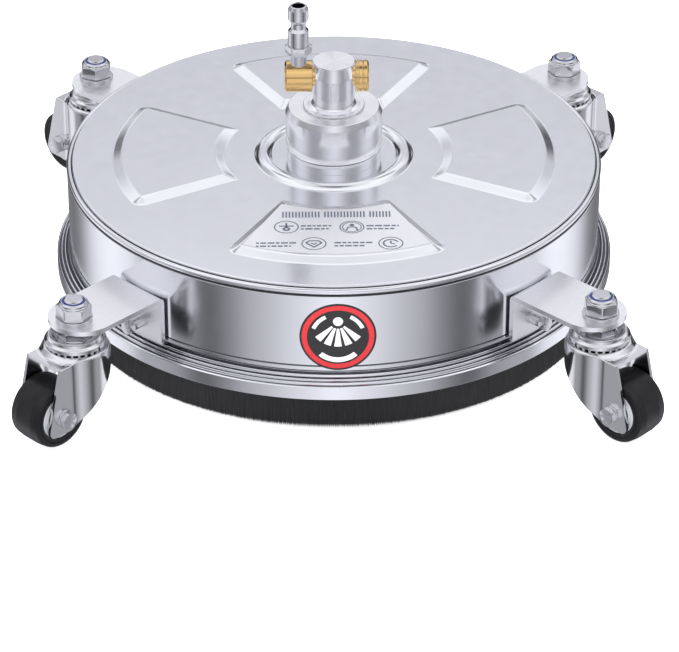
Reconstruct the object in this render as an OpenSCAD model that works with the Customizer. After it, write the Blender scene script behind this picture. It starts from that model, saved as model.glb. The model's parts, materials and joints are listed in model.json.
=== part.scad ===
// Rotary surface cleaner for a pressure washer: a round stainless housing on
// four swivel casters, with a brush skirt, a spinning spray bar and a
// swinging inlet. Millimetres, +Z up, origin on the floor below the middle.

/* [Housing] */
// Outside radius of the skirt
skirt_r = 169.5; // [165:0.5:171]
// Height of the flat deck above the floor
deck_z = 100.7; // [98:0.1:104]
// Height of the skirt's lower edge
skirt_low_z = 42.5; // [41:0.5:44]
// Thickness of the sheet steel
sheet_t = 1.5; // [1:0.1:2]
// Radius where the flat deck ends and the rim begins
flat_r = 166; // [162:0.5:166.5]
// Outside radius of the lower flange, a 14 inch cleaner
flange_r = 178; // [177:0.5:179]
// Height of the flange lip's lower edge
lip_low_z = 27.5; // [26:0.5:29]

/* [Pressed panels] */
// Inner radius of a raised panel
panel_in_r = 69; // [60:1:75]
// Outer radius of a raised panel
panel_out_r = 141; // [130:1:150]
// Half of the angle that a panel covers
panel_half_deg = 29; // [20:1:35]
// How far a panel is raised
panel_raise = 2.3; // [1.5:0.1:3]

/* [Brush] */
// Outside radius of the bristles
brush_r = 170; // [168:0.5:172]
// Radial thickness of the bristle row
brush_t = 7; // [4:0.5:9]
// Gap between bristle tips and floor
brush_gap = 3; // [2:0.5:5]

/* [Hub] */
// Outside radius of the bearing housing
hub_r = 30.6; // [30:0.1:32]
// Height of the bearing housing's top
hub_top_z = 135.3; // [134:0.1:138]
// Height where the bearing housing sits on its base ring
hub_low_z = 106.7; // [106:0.1:107]
// Radius of the inlet post
post_r = 13.2; // [12.6:0.1:14]
// Height of the inlet post's top
post_top_z = 166.7; // [166.5:0.1:172]

/* [Swinging inlet] */
// Radius of the brass cross tube beside the post
tube_r = 10; // [9:0.1:10.2]
// Height of the cross tube's axis
tube_z = 155.8; // [154:0.1:156]
// Distance of the plug's axis from the middle
plug_x = 22; // [20:0.1:24]
// Radius of the plug's nose
nose_r = 6.5; // [6:0.1:7]

/* [Spray bar] */
// Height of the spray bar's axis
bar_z = 70; // [66:1:74]
// Distance of a nozzle from the middle
nozzle_x = 132; // [110:1:138]
// Outside radius of a spray arm
arm_r = 6.5; // [5:0.5:8]

/* [Brackets] */
// Width of a bracket
bracket_w = 42.5; // [38:0.5:44]
// Thickness of a bracket
bracket_t = 3; // [2:0.5:3]
// Height of a bracket's top face
bracket_z = 75; // [74:0.5:76]

/* [Casters] */
// Distance of a caster's stem from the middle
stem_r = 224; // [223:0.5:228]
// How far the wheel trails behind its stem
trail = 23.5; // [22:0.5:24]
// Radius of a wheel
wheel_r = 21; // [20:0.5:21.5]
// Width of a wheel
wheel_w = 24; // [18:0.5:24]
// Width of a fork over both cheeks
fork_w = 30; // [30:0.5:32]
// Thickness of a fork's sheet
fork_t = 2; // [1.5:0.5:2]
// Height of a fork's flat crown
crown_z = 55.5; // [54:0.5:55.5]

/* [Hidden] */
$fn = 96;
eps = 0.01;

// Caster positions: angle about the middle, and the side that its axle head faces
FL = 0;
FR = 1;
RL = 2;
RR = 3;
caster_deg = [225, 315, 135, 45];
head_side = [1, -1, 1, -1];

// Fits
running_gap = 0.05;
loose_gap = 0.1;

// Housing
hub_hole_r = 21;
bead_mid_r = 44.9;
bead_r = 6.3;
bead_h = 3;
panel_slope = 7;
rim_roll_r = 1.9;

// Flange and brush
flange_in_r = skirt_r - sheet_t - loose_gap;
holder_in_r = 160;
holder_low_z = lip_low_z + 0.6;
holder_top_z = 35;

// Hub and bearings
base_r = 29.7;
seal_r = 15;
screw_r = 2.5;
screw_pitch_r = 25.4;
screw_count = 6;
spindle_r = 8.5;
spindle_bore_r = 3.5;
bearing_r = 20;
bearing_in_r = 11.5;
bearing_out_r = 17;
bearing_w = 8;
bearing_low_z = [109.2, 118.6];
bearing_pitch_r = (bearing_in_r + bearing_out_r) / 2;
ball_r = 2.5;
ball_count = 9;
spindle_top_z = 127;
spigot_r = 11;
spigot_low_z = 129.6;
collar_r = 19.4;
backing_r = 36;
backing_t = 3;

// Rotor
head_w = 36;
head_h = 20;
rotor_nut_h = 8;
spindle_low_z = bar_z - head_h / 2 - rotor_nut_h - 4;
arm_bore_r = 3.5;
end_block = [18, 18, 17];

// Inlet
tube_left_x = -30.8;
tube_right_x = 17.9;
end_cap_x = 22;
tube_bore_r = 3.5;
journal_r = 6.5;
shoulder_x = post_r + 0.2;
clip_x = 15;
o_ring_x = [-7, 8];
neck_r = 5.1;
neck_low_z = 7.5;
thread_r = 4.3;
plug_hex_z = 16.8;
groove_z = 35.8;
groove_r = 4.7;
plug_top = 49.4;
plug_bore_r = 3.9;

// Brackets
leg_in_r = skirt_r + 0.4;
round_mid_r = 217;
bolt_z = [50, 63];
bolt_r = 2.5;

// Casters
stem_rod_r = 6;
washer_t = 2;
nut_low_z = bracket_z + washer_t;
nut_h = 11;
stem_top_z = nut_low_z + nut_h + 1;
dish_z = 62.5;
cap_low_z = crown_z + 1;
race_pitch_r = 13;
race_ball_r = 2.3;
race_ball_count = 14;
axle_r = 3;
hub_wheel_r = 14.5;
fork_back_r = 21;
fork_nose = 26;
stem_head_r = 9;
stem_head_h = 2.3;

// ---- shared shapes ----

// Points along an arc, from angle a0 to a1 in n steps
function arc(mid, r, a0, a1, n) =
    [for (i = [0:n]) mid + r * [cos(a0 + (a1 - a0) * i / n), sin(a0 + (a1 - a0) * i / n)]];

// Upright cylinder between two heights
module rod(r, z0, z1) {
    translate([0, 0, z0])
        cylinder(r = r, h = z1 - z0);
}

// Upright ring between two heights
module ring(r_in, r_out, z0, z1) {
    difference() {
        rod(r_out, z0, z1);
        rod(r_in, z0 - 1, z1 + 1);
    }
}

// Upright hexagonal prism, flat to flat across af, with its corners chamfered
module hex_prism(af, z0, z1, chamfer = 0.5) {
    corner_r = af / sqrt(3);
    intersection() {
        translate([0, 0, z0])
            cylinder(r = corner_r, h = z1 - z0, $fn = 6);
        rotate_extrude()
            polygon([
                [0, z0], [corner_r - chamfer * 1.7, z0], [corner_r, z0 + chamfer],
                [corner_r, z1 - chamfer], [corner_r - chamfer * 1.7, z1], [0, z1]
            ]);
    }
}

// Lays an upright shape along +X, so that its heights become x values
module along_x() {
    rotate([0, 90, 0])
        children();
}

// Puts a shape on caster i, with its local +X pointing away from the middle
module at_caster(i) {
    rotate([0, 0, caster_deg[i]])
        translate([stem_r, 0, 0])
            children();
}

// ---- housing ----

module panel_press(inset, z0) {
    for (turn = [0:90:270])
        rotate([0, 0, turn - panel_half_deg + inset / 2])
            rotate_extrude(angle = 2 * panel_half_deg - inset)
                polygon([
                    [panel_in_r + inset, z0 - 1],
                    [panel_in_r + inset, z0],
                    [panel_in_r + inset + panel_slope, z0 + panel_raise],
                    [panel_out_r - inset - panel_slope, z0 + panel_raise],
                    [panel_out_r - inset, z0],
                    [panel_out_r - inset, z0 - 1]
                ]);
}

module bolt_holes(r) {
    for (i = [FL:RR], z = bolt_z)
        rotate([0, 0, caster_deg[i]])
            translate([skirt_r - 12, 0, z])
                along_x()
                    cylinder(r = r, h = 24);
}

module hub_screw_places() {
    for (k = [0:screw_count - 1])
        rotate([0, 0, (k + 0.5) * 360 / screw_count])
            translate([screw_pitch_r, 0, 0])
                children();
}

module deck_cover() {
    roll_z = deck_z - 3;
    roll_mid = [skirt_r + 0.3 - rim_roll_r, roll_z];
    color("gainsboro")
        difference() {
            union() {
                rotate_extrude()
                    polygon(concat(
                        [[hub_hole_r, deck_z - sheet_t], [hub_hole_r, deck_z], [flat_r, deck_z]],
                        [[flat_r + 1.3, deck_z - 0.3], [flat_r + 1.9, deck_z - 1]],
                        arc(roll_mid, rim_roll_r, 70, -30, 6),
                        [[skirt_r, roll_z - 1.8], [skirt_r, skirt_low_z]],
                        [[skirt_r - sheet_t, skirt_low_z], [skirt_r - sheet_t, roll_z - 2]],
                        [[flat_r - 1, deck_z - sheet_t]]
                    ));
                panel_press(0, deck_z - 0.4);
                rotate_extrude()
                    intersection() {
                        translate([bead_mid_r, deck_z + bead_h - bead_r])
                            circle(r = bead_r);
                        translate([bead_mid_r - 10, deck_z - 0.5])
                            square([20, bead_h + 1]);
                    }
            }
            panel_press(sheet_t, deck_z - sheet_t - 0.4);
            bolt_holes(bolt_r + loose_gap);
            hub_screw_places()
                rod(screw_r + loose_gap, deck_z - 5, deck_z + 5);
        }
}

module lower_flange() {
    ridge_z = skirt_low_z - 3;
    lip_top_z = 36.4;
    color("silver")
        rotate_extrude()
            polygon([
                [flange_in_r, skirt_low_z + 2.5], [flange_in_r, ridge_z + 1],
                [skirt_r + 0.6, ridge_z + 0.6], [skirt_r + 2.4, ridge_z - 0.9],
                [skirt_r + 3.2, ridge_z - 0.5], [skirt_r + 4.8, ridge_z - 1.9],
                [skirt_r + 5.6, ridge_z - 1.5], [skirt_r + 7.2, ridge_z - 2.8],
                [flange_r - 0.5, lip_top_z + 0.1], [flange_r, lip_top_z - 0.5],
                [flange_r, lip_low_z], [flange_r - sheet_t, lip_low_z],
                [flange_r - sheet_t, holder_top_z + 0.1],
                [flange_in_r - sheet_t, holder_top_z + 0.1],
                [flange_in_r - sheet_t, skirt_low_z + 2.5]
            ]);
}

module brush_holder() {
    color("dimgray")
        ring(holder_in_r, flange_r - sheet_t - loose_gap, holder_low_z, holder_top_z);
}

module brush_bristles() {
    color("black")
        ring(brush_r - brush_t, brush_r, brush_gap, holder_low_z);
}

module badge() {
    badge_r = 23.2;
    badge_z = 67;
    color("firebrick")
        intersection() {
            ring(skirt_r, skirt_r + 0.35, badge_z - badge_r - 1, badge_z + badge_r + 1);
            translate([0, -skirt_r + 20, badge_z])
                rotate([90, 0, 0])
                    cylinder(r = badge_r, h = 40);
        }
}

// ---- hub ----

module hub_base() {
    color("silver")
        difference() {
            union() {
                rod(base_r, deck_z, hub_low_z);
                rod(hub_hole_r - loose_gap, deck_z - 6, deck_z + 1);
            }
            rod(seal_r, deck_z - 7, hub_low_z + 1);
            hub_screw_places()
                rod(screw_r + loose_gap, deck_z - 1, hub_low_z + 1);
        }
}

module backing_plate() {
    top_z = deck_z - sheet_t;
    color("darkgray")
        difference() {
            ring(hub_hole_r + loose_gap, backing_r, top_z - backing_t, top_z);
            hub_screw_places()
                rod(screw_r + loose_gap, top_z - backing_t - 1, top_z + 1);
        }
}

module bearing_housing() {
    bore_top_z = bearing_low_z[1] + bearing_w + 0.2;
    flat_top_r = hub_r - 1.9;
    color("whitesmoke")
        difference() {
            rotate_extrude()
                polygon(concat(
                    [[0, hub_low_z], [hub_r - 2.5, hub_low_z]],
                    arc([hub_r - 3, hub_low_z + 3], 3, -80, 0, 6),
                    [[hub_r, hub_top_z - 3.9], [flat_top_r, hub_top_z], [0, hub_top_z]]
                ));
            rod(bearing_r + loose_gap, hub_low_z - 1, bore_top_z);
            rod(collar_r - 5, bore_top_z - 1, spigot_low_z + 1.5);
            rod(spigot_r + running_gap, hub_low_z, hub_top_z + 1);
            rod(bearing_r + 1.2, hub_low_z + 0.5, hub_low_z + 2.3);
            hub_screw_places()
                rod(screw_r + loose_gap, hub_low_z - 1, hub_low_z + 13);
        }
}

module hub_screws() {
    head_top_z = deck_z - sheet_t - backing_t;
    color("silver")
        hub_screw_places() {
            rod(screw_r, head_top_z - eps, hub_low_z + 12);
            hex_prism(8, head_top_z - 3.5, head_top_z);
        }
}

module inlet_post() {
    color("whitesmoke")
        difference() {
            rotate_extrude()
                polygon([
                    [0, spigot_low_z], [spigot_r, spigot_low_z],
                    [spigot_r, hub_top_z], [collar_r, hub_top_z],
                    [collar_r, hub_top_z + 0.9], [collar_r - 0.6, hub_top_z + 1.5],
                    [collar_r - 3, hub_top_z + 1.5], [post_r + 0.6, hub_top_z + 2.1],
                    [post_r, hub_top_z + 2.7], [post_r, post_top_z - 9],
                    [post_r - 2.2, post_top_z - 1.3], [post_r, post_top_z - 1.2],
                    [post_r, post_top_z - 0.3], [post_r - 0.3, post_top_z],
                    [0, post_top_z]
                ]);
            rod(tube_bore_r, spigot_low_z - 1, tube_z);
            translate([-20, 0, tube_z])
                along_x()
                    cylinder(r = journal_r + running_gap, h = 40);
        }
}

module water_seal() {
    color("ivory")
        ring(spindle_bore_r + 0.3, spindle_r + 1.5, spindle_top_z + loose_gap, spigot_low_z);
}

// Groove that the balls run in, cut from both rings of each bearing
module ball_tracks() {
    for (z = bearing_low_z)
        translate([0, 0, z + bearing_w / 2])
            rotate_extrude()
                translate([bearing_pitch_r, 0])
                    circle(r = ball_r + 0.25, $fn = 48);
}

module bearing_outer_rings() {
    color("silver")
        difference() {
            for (z = bearing_low_z)
                ring(bearing_out_r, bearing_r, z, z + bearing_w);
            ball_tracks();
        }
}

module bearing_inner_rings() {
    color("silver")
        difference() {
            for (z = bearing_low_z)
                ring(spindle_r, bearing_in_r, z, z + bearing_w);
            ball_tracks();
        }
}

module bearing_balls() {
    color("silver")
        for (z = bearing_low_z, k = [0:ball_count - 1])
            rotate([0, 0, k * 360 / ball_count])
                translate([bearing_pitch_r, 0, z + bearing_w / 2])
                    sphere(r = ball_r, $fn = 32);
}

// Spring ring that holds the bearings in their bore, open at one side
module housing_clip() {
    color("dimgray")
        difference() {
            ring(bearing_out_r + 0.5, bearing_r + 1, hub_low_z + 0.7, hub_low_z + 2.1);
            translate([0, -4, hub_low_z])
                cube([30, 8, 4]);
        }
}

module shaft_seal() {
    color("black")
        ring(spindle_r + loose_gap, seal_r, deck_z - 3, hub_low_z - 0.5);
}

// ---- swinging inlet ----

module pivot_tube() {
    color("goldenrod")
        translate([0, 0, tube_z])
            difference() {
                along_x()
                    difference() {
                        union() {
                            rod(tube_r, tube_left_x, -shoulder_x);
                            rod(journal_r, -shoulder_x - eps, tube_right_x);
                        }
                        rod(tube_bore_r, tube_left_x + 5, tube_right_x + 1);
                        for (x = o_ring_x)
                            ring(journal_r - 1.6, journal_r + 1, x - 1, x + 1);
                    }
                translate([-plug_x, 0, 0]) {
                    rod(thread_r + loose_gap, 0, tube_r + 1);
                    rod(neck_r + loose_gap, neck_low_z, tube_r + 1);
                }
                rotate([180, 0, 0])
                    rod(tube_bore_r - 0.5, 0, tube_r + 1);
            }
}

module pivot_end_cap() {
    color("goldenrod")
        translate([0, 0, tube_z])
            along_x()
                difference() {
                    rod(tube_r, shoulder_x, end_cap_x);
                    rod(journal_r + running_gap, shoulder_x - 1, tube_right_x + running_gap);
                    ring(tube_r - 0.9, tube_r + 1, clip_x - 0.5, clip_x + 0.5);
                    ring(tube_r - 0.6, tube_r + 1, tube_right_x, tube_right_x + 0.8);
                }
}

module pivot_clip() {
    color("goldenrod")
        translate([0, 0, tube_z])
            along_x()
                difference() {
                    ring(tube_r - 0.85, tube_r + 0.35, clip_x - 0.4, clip_x + 0.4);
                    translate([2, -2, clip_x - 2])
                        cube([12, 4, 4]);
                }
}

module pivot_o_rings() {
    color("black")
        translate([0, 0, tube_z])
            for (x = o_ring_x)
                translate([x, 0, 0])
                    along_x()
                        rotate_extrude()
                            translate([journal_r - 0.8, 0])
                                circle(r = 0.78, $fn = 24);
}

module inlet_plug() {
    color("silver")
        translate([-plug_x, 0, tube_z])
            difference() {
                union() {
                    rod(thread_r, neck_low_z - 3, neck_low_z + eps);
                    rod(neck_r, neck_low_z, plug_hex_z + eps);
                    hex_prism(15, plug_hex_z, plug_hex_z + 5.4, 0.8);
                    rotate_extrude()
                        polygon([
                            [0, plug_hex_z + 5.3], [nose_r, plug_hex_z + 5.3],
                            [nose_r, groove_z - 3.4], [groove_r, groove_z - 1.6],
                            [groove_r, groove_z + 1.6], [groove_r + 0.8, groove_z + 2.6],
                            [nose_r, groove_z + 4.4], [nose_r, plug_top - 3.8],
                            [groove_r, plug_top], [0, plug_top]
                        ]);
                }
                rod(tube_bore_r - 0.5, 3, plug_hex_z + 3);
                rod(plug_bore_r, plug_hex_z + 2, plug_top + 1);
            }
}

// ---- rotor ----

module spindle() {
    color("lightgray")
        difference() {
            union() {
                rod(spindle_r, bar_z + head_h / 2 + 2, spindle_top_z);
                rod(spindle_r - 1, spindle_low_z, bar_z + head_h / 2 + 2 + eps);
                rod(bearing_in_r, bearing_low_z[0] - 1.6, bearing_low_z[0]);
            }
            rod(spindle_bore_r, bar_z - 4, spindle_top_z + 1);
            translate([-10, 0, bar_z])
                along_x()
                    cylinder(r = arm_bore_r - 0.5, h = 20);
        }
}

module rotor_head() {
    z0 = bar_z - head_h / 2;
    color("silver")
        difference() {
            intersection() {
                translate([-head_w / 2, -head_w / 2, z0])
                    cube([head_w, head_w, head_h]);
                rod(head_w / 2 + 4.6, z0, z0 + head_h);
            }
            rod(spindle_r - 1 + running_gap, z0 - 1, z0 + head_h + 1);
            for (side = [-1, 1])
                translate([side * head_w / 2, 0, bar_z])
                    rotate([0, -side * 90, 0]) {
                        translate([0, 0, -1])
                            cylinder(r = arm_r, h = 9);
                        cylinder(r = arm_bore_r, h = 12);
                    }
        }
}

module spindle_nut() {
    top_z = bar_z - head_h / 2;
    color("silver")
        difference() {
            hex_prism(24, top_z - rotor_nut_h, top_z, 0.8);
            rod(spindle_r - 1 + running_gap, top_z - rotor_nut_h - 1, top_z + 1);
        }
}

// A tube from the rotor head to the drilled block that carries a nozzle
module spray_arm(side) {
    color("lightgray")
        difference() {
            union() {
                translate([side * (head_w / 2 - 8), 0, bar_z])
                    rotate([0, side * 90, 0])
                        cylinder(r = arm_r - running_gap, h = nozzle_x - head_w / 2 + 8);
                translate([side * nozzle_x, 0, bar_z] - end_block / 2)
                    cube(end_block);
            }
            translate([side * (head_w / 2 - 9), 0, bar_z])
                rotate([0, side * 90, 0])
                    cylinder(r = arm_bore_r, h = nozzle_x - head_w / 2 + 10);
            translate([side * nozzle_x, 0, 0])
                rod(4, bar_z - end_block[2], bar_z);
        }
}

module nozzle(side) {
    top_z = bar_z - end_block[2] / 2;
    color("darkgray")
        translate([side * nozzle_x, 0, 0])
            difference() {
                union() {
                    rod(4 - running_gap, top_z - eps, top_z + 7);
                    hex_prism(14, top_z - 8, top_z, 0.8);
                    rod(4.5, top_z - 13, top_z - 8 + eps);
                }
                rod(1.6, top_z - 14, top_z + 8);
                translate([-5, -0.8, top_z - 14])
                    cube([10, 1.6, 3]);
            }
}

// ---- brackets and their fasteners ----

module bracket(i) {
    leg_out_r = leg_in_r + bracket_t;
    bend_r = 3;
    color("silver")
        rotate([0, 0, caster_deg[i]])
            difference() {
                union() {
                    rotate([90, 0, 0])
                        translate([0, 0, -bracket_w / 2])
                            linear_extrude(bracket_w)
                                polygon(concat(
                                    [[leg_in_r, skirt_low_z + 0.5], [leg_out_r, skirt_low_z + 0.5]],
                                    [[leg_out_r, bracket_z - bracket_t]],
                                    [[round_mid_r, bracket_z - bracket_t], [round_mid_r, bracket_z]],
                                    arc([leg_in_r + bend_r, bracket_z - bend_r], bend_r, 90, 180, 6)
                                ));
                    translate([round_mid_r, 0, bracket_z - bracket_t])
                        intersection() {
                            cylinder(r = bracket_w / 2, h = bracket_t);
                            translate([-1, -bracket_w, -1])
                                cube([bracket_w, 2 * bracket_w, bracket_t + 2]);
                        }
                }
                translate([stem_r, 0, 0])
                    rod(stem_rod_r + loose_gap, bracket_z - 10, bracket_z + 10);
                for (z = bolt_z)
                    translate([leg_in_r - 5, 0, z])
                        along_x()
                            cylinder(r = bolt_r + loose_gap, h = 20);
            }
}

// Puts an upright shape along each bracket bolt, with its heights as radii
module at_bracket_bolts() {
    for (i = [FL:RR], z = bolt_z)
        rotate([0, 0, caster_deg[i]])
            translate([0, 0, z])
                along_x()
                    children();
}

module bracket_bolts() {
    face_r = leg_in_r + bracket_t;
    color("silver")
        at_bracket_bolts() {
            rod(bolt_r, skirt_r - 9, face_r + eps);
            rod(3.4, face_r, face_r + 5.5 + eps);
            hex_prism(8, face_r + 5.5, face_r + 10);
        }
}

module bracket_nuts() {
    face_r = skirt_r - sheet_t - 0.4;
    color("silver")
        at_bracket_bolts()
            difference() {
                hex_prism(8, face_r - 5, face_r);
                rod(bolt_r + running_gap, face_r - 6, face_r + 1);
            }
}

// ---- casters: stems, nuts and races, fixed to the brackets ----

module caster_stems() {
    color("silver")
        for (i = [FL:RR])
            at_caster(i) {
                rod(stem_rod_r, crown_z - fork_t - 1, stem_top_z);
                hex_prism(18, dish_z, bracket_z - bracket_t, 0.8);
                rod(stem_head_r, crown_z - fork_t - 0.2 - stem_head_h, crown_z - fork_t - 0.2);
            }
}

module stem_washers() {
    color("silver")
        for (i = [FL:RR])
            at_caster(i)
                ring(stem_rod_r + loose_gap, 11.2, bracket_z, bracket_z + washer_t);
}

module stem_nuts() {
    hex_top_z = nut_low_z + nut_h - 2.6;
    color("silver")
        for (i = [FL:RR])
            at_caster(i)
                difference() {
                    union() {
                        hex_prism(19, nut_low_z, hex_top_z, 0.9);
                        rod(8.9, hex_top_z - eps, nut_low_z + nut_h);
                    }
                    rod(stem_rod_r + loose_gap, nut_low_z - 1, nut_low_z + nut_h + 1);
                    rod(7.1, nut_low_z + nut_h - 3.6, nut_low_z + nut_h + 1);
                }
}

module nylon_inserts() {
    color("royalblue")
        for (i = [FL:RR])
            at_caster(i)
                ring(
                    stem_rod_r + running_gap, 7,
                    nut_low_z + nut_h - 3.5, nut_low_z + nut_h - 0.3
                );
}

// Domed cap over the balls, dished round the stem's hexagonal shoulder
module race_caps() {
    color("silver")
        for (i = [FL:RR])
            at_caster(i)
                rotate_extrude()
                    polygon(concat(
                        [[stem_rod_r + loose_gap, dish_z], [11.6, dish_z], [12.8, dish_z + 1.2]],
                        [[13.4, 65.8], [14.4, 65.8], [14.8, 65.2]],
                        arc([12.8, 58.4], 6.1, 60, 0, 6),
                        [[18.9, cap_low_z], [17.5, cap_low_z], [17.3, 58.4], [15.8, 60.8]],
                        [[stem_rod_r + loose_gap, 60.8]]
                    ));
}

module race_balls() {
    color("silver")
        for (i = [FL:RR])
            at_caster(i)
                for (k = [0:race_ball_count - 1])
                    rotate([0, 0, k * 360 / race_ball_count])
                        translate([race_pitch_r, 0, crown_z + race_ball_r + 0.3])
                            sphere(r = race_ball_r, $fn = 24);
}

// ---- casters: fork and wheel, which turn ----

// Plan of a fork: round behind the stem, with straight cheeks ahead of it
module fork_plan(inset) {
    circle(r = fork_back_r - inset);
    translate([0, inset - fork_w / 2])
        square([wheel_r + trail, fork_w - 2 * inset]);
}

// Side outline of a fork: x runs outward from the stem, y is the height
function fork_side() = concat(
    [[-fork_back_r - 1, crown_z], [fork_nose, crown_z], [fork_nose + 0.4, crown_z - 4]],
    arc([trail + 8, wheel_r - 6], 4.5, 15, -90, 5),
    arc([trail - 3, wheel_r - 4], 6.5, 270, 230, 3),
    [[-fork_back_r - 1, crown_z - 5]]
);

module fork(i) {
    color("gainsboro")
        at_caster(i)
            difference() {
                intersection() {
                    translate([0, 0, 1])
                        linear_extrude(crown_z - 1)
                            fork_plan(0);
                    rotate([90, 0, 0])
                        translate([0, 0, -fork_w])
                            linear_extrude(2 * fork_w)
                                polygon(fork_side());
                }
                linear_extrude(crown_z - fork_t)
                    fork_plan(fork_t);
                rod(stem_rod_r + loose_gap, crown_z - 10, crown_z + 1);
                translate([trail, 0, wheel_r])
                    rotate([90, 0, 0])
                        translate([0, 0, -fork_w])
                            cylinder(r = axle_r + loose_gap, h = 2 * fork_w);
            }
}

// Sets an upright shape along a caster's axle, head side up
module at_axle(i) {
    at_caster(i)
        translate([trail, 0, wheel_r])
            rotate([-head_side[i] * 90, 0, 0])
                children();
}

module axle_bolt(i) {
    color("silver")
        at_axle(i) {
            rod(axle_r, -fork_w / 2 - 6.5, fork_w / 2 + eps);
            rod(5.8, fork_w / 2, fork_w / 2 + 0.9);
            hex_prism(10, fork_w / 2 + 0.8, fork_w / 2 + 4.6, 0.6);
        }
}

module axle_nut(i) {
    color("silver")
        at_axle(i)
            difference() {
                hex_prism(10, -fork_w / 2 - 5, -fork_w / 2, 0.6);
                rod(axle_r + running_gap, -fork_w, 0);
            }
}

module tyre(i) {
    shoulder = 2.6;
    half = wheel_w / 2;
    color("black")
        at_axle(i)
            rotate_extrude()
                polygon(concat(
                    [[hub_wheel_r, half - 0.8], [hub_wheel_r + 0.8, half]],
                    arc([wheel_r - shoulder, half - shoulder], shoulder, 90, 0, 6),
                    arc([wheel_r - shoulder, shoulder - half], shoulder, 0, -90, 6),
                    [[hub_wheel_r + 0.8, -half], [hub_wheel_r, 0.8 - half]]
                ));
}

module wheel_hub(i) {
    half = wheel_w / 2;
    rim_r = hub_wheel_r - running_gap;
    color("lightgray")
        at_axle(i)
            rotate_extrude()
                polygon([
                    [axle_r + running_gap, half + 0.6], [5.5, half + 0.6], [6, half - 1.6],
                    [11.5, half - 1.6], [12, half - 0.4], [rim_r, half - 0.4],
                    [rim_r, 0.4 - half], [12, 0.4 - half], [11.5, 1.6 - half],
                    [6, 1.6 - half], [5.5, -half - 0.8], [axle_r + running_gap, -half - 0.8]
                ]);
}

// ---- one line for each node ----

deck_cover();
lower_flange();
brush_holder();
brush_bristles();
badge();
hub_base();
backing_plate();
bearing_housing();
hub_screws();
inlet_post();
water_seal();
bearing_outer_rings();
bearing_balls();
housing_clip();
shaft_seal();
bracket(FL);  // bracket_front_left
bracket(FR);  // bracket_front_right
bracket(RL);  // bracket_rear_left
bracket(RR);  // bracket_rear_right
bracket_bolts();
bracket_nuts();
caster_stems();
stem_washers();
stem_nuts();
nylon_inserts();
race_caps();
race_balls();
pivot_tube();
pivot_end_cap();
pivot_clip();
pivot_o_rings();
inlet_plug();
spindle();
bearing_inner_rings();
rotor_head();
spindle_nut();
spray_arm(-1);  // spray_arm_left
spray_arm(1);  // spray_arm_right
nozzle(-1);  // nozzle_left
nozzle(1);  // nozzle_right
fork(FL);  // fork_front_left
fork(FR);  // fork_front_right
fork(RL);  // fork_rear_left
fork(RR);  // fork_rear_right
axle_bolt(FL);  // axle_bolt_front_left
axle_bolt(FR);  // axle_bolt_front_right
axle_bolt(RL);  // axle_bolt_rear_left
axle_bolt(RR);  // axle_bolt_rear_right
axle_nut(FL);  // axle_nut_front_left
axle_nut(FR);  // axle_nut_front_right
axle_nut(RL);  // axle_nut_rear_left
axle_nut(RR);  // axle_nut_rear_right
tyre(FL);  // tyre_front_left
tyre(FR);  // tyre_front_right
tyre(RL);  // tyre_rear_left
tyre(RR);  // tyre_rear_right
wheel_hub(FL);  // wheel_hub_front_left
wheel_hub(FR);  // wheel_hub_front_right
wheel_hub(RL);  // wheel_hub_rear_left
wheel_hub(RR);  // wheel_hub_rear_right
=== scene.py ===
"""Looks of a rotary surface cleaner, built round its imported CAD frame.

Shapes are worked out in millimetres, in the frame's own axes: +Z up, -Y the front, +X to the right.
Upright shapes are profiles of (radius, height) turned about an axis; a caster's shapes are worked out
about its stem, with u pointing away from the middle of the cleaner and v across the fork.
"""
import json
import math

import bmesh
import bpy
import numpy as np
from mathutils import Matrix, Vector


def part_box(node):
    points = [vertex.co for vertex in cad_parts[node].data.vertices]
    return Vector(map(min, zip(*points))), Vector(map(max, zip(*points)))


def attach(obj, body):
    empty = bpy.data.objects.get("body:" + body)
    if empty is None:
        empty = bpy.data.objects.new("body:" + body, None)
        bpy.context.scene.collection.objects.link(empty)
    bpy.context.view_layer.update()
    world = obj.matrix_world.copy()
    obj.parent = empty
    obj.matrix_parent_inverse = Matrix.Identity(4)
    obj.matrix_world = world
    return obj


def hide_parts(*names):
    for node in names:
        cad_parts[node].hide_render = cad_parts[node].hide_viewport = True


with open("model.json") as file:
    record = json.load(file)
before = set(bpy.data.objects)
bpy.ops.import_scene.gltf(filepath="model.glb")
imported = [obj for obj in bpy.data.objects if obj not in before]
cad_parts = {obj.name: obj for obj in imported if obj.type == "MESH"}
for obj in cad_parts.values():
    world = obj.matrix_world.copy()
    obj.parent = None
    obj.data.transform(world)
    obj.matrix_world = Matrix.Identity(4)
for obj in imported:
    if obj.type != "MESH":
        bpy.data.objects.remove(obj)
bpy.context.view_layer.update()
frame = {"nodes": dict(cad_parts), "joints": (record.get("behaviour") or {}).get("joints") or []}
MM = 0.001


# ---- sizes that the frame gives ----

def box_mm(*nodes):
    """Lowest and highest corner of some CAD nodes together, in millimetres."""
    corners = [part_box(node) for node in nodes]
    low = np.min([np.array(c[0]) for c in corners], axis=0) / MM
    high = np.max([np.array(c[1]) for c in corners], axis=0) / MM
    return low, high


deck_low, deck_high = box_mm("deck_cover")
flange_low, flange_high = box_mm("lower_flange")
brush_low, brush_high = box_mm("brush_bristles")
badge_low, badge_high = box_mm("badge")
base_low, base_high = box_mm("hub_base")
cup_high = box_mm("bearing_housing")[1]
post_low, post_high = box_mm("inlet_post")
tube_low, tube_high = box_mm("pivot_tube")
cap_low, cap_high = box_mm("pivot_end_cap")
plug_low, plug_high = box_mm("inlet_plug")
washer_low, washer_high = box_mm("stem_washers")
nut_low, nut_high = box_mm("stem_nuts")
race_low, race_high = box_mm("race_caps")
plate_low = box_mm("bracket_front_left")[0]

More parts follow.
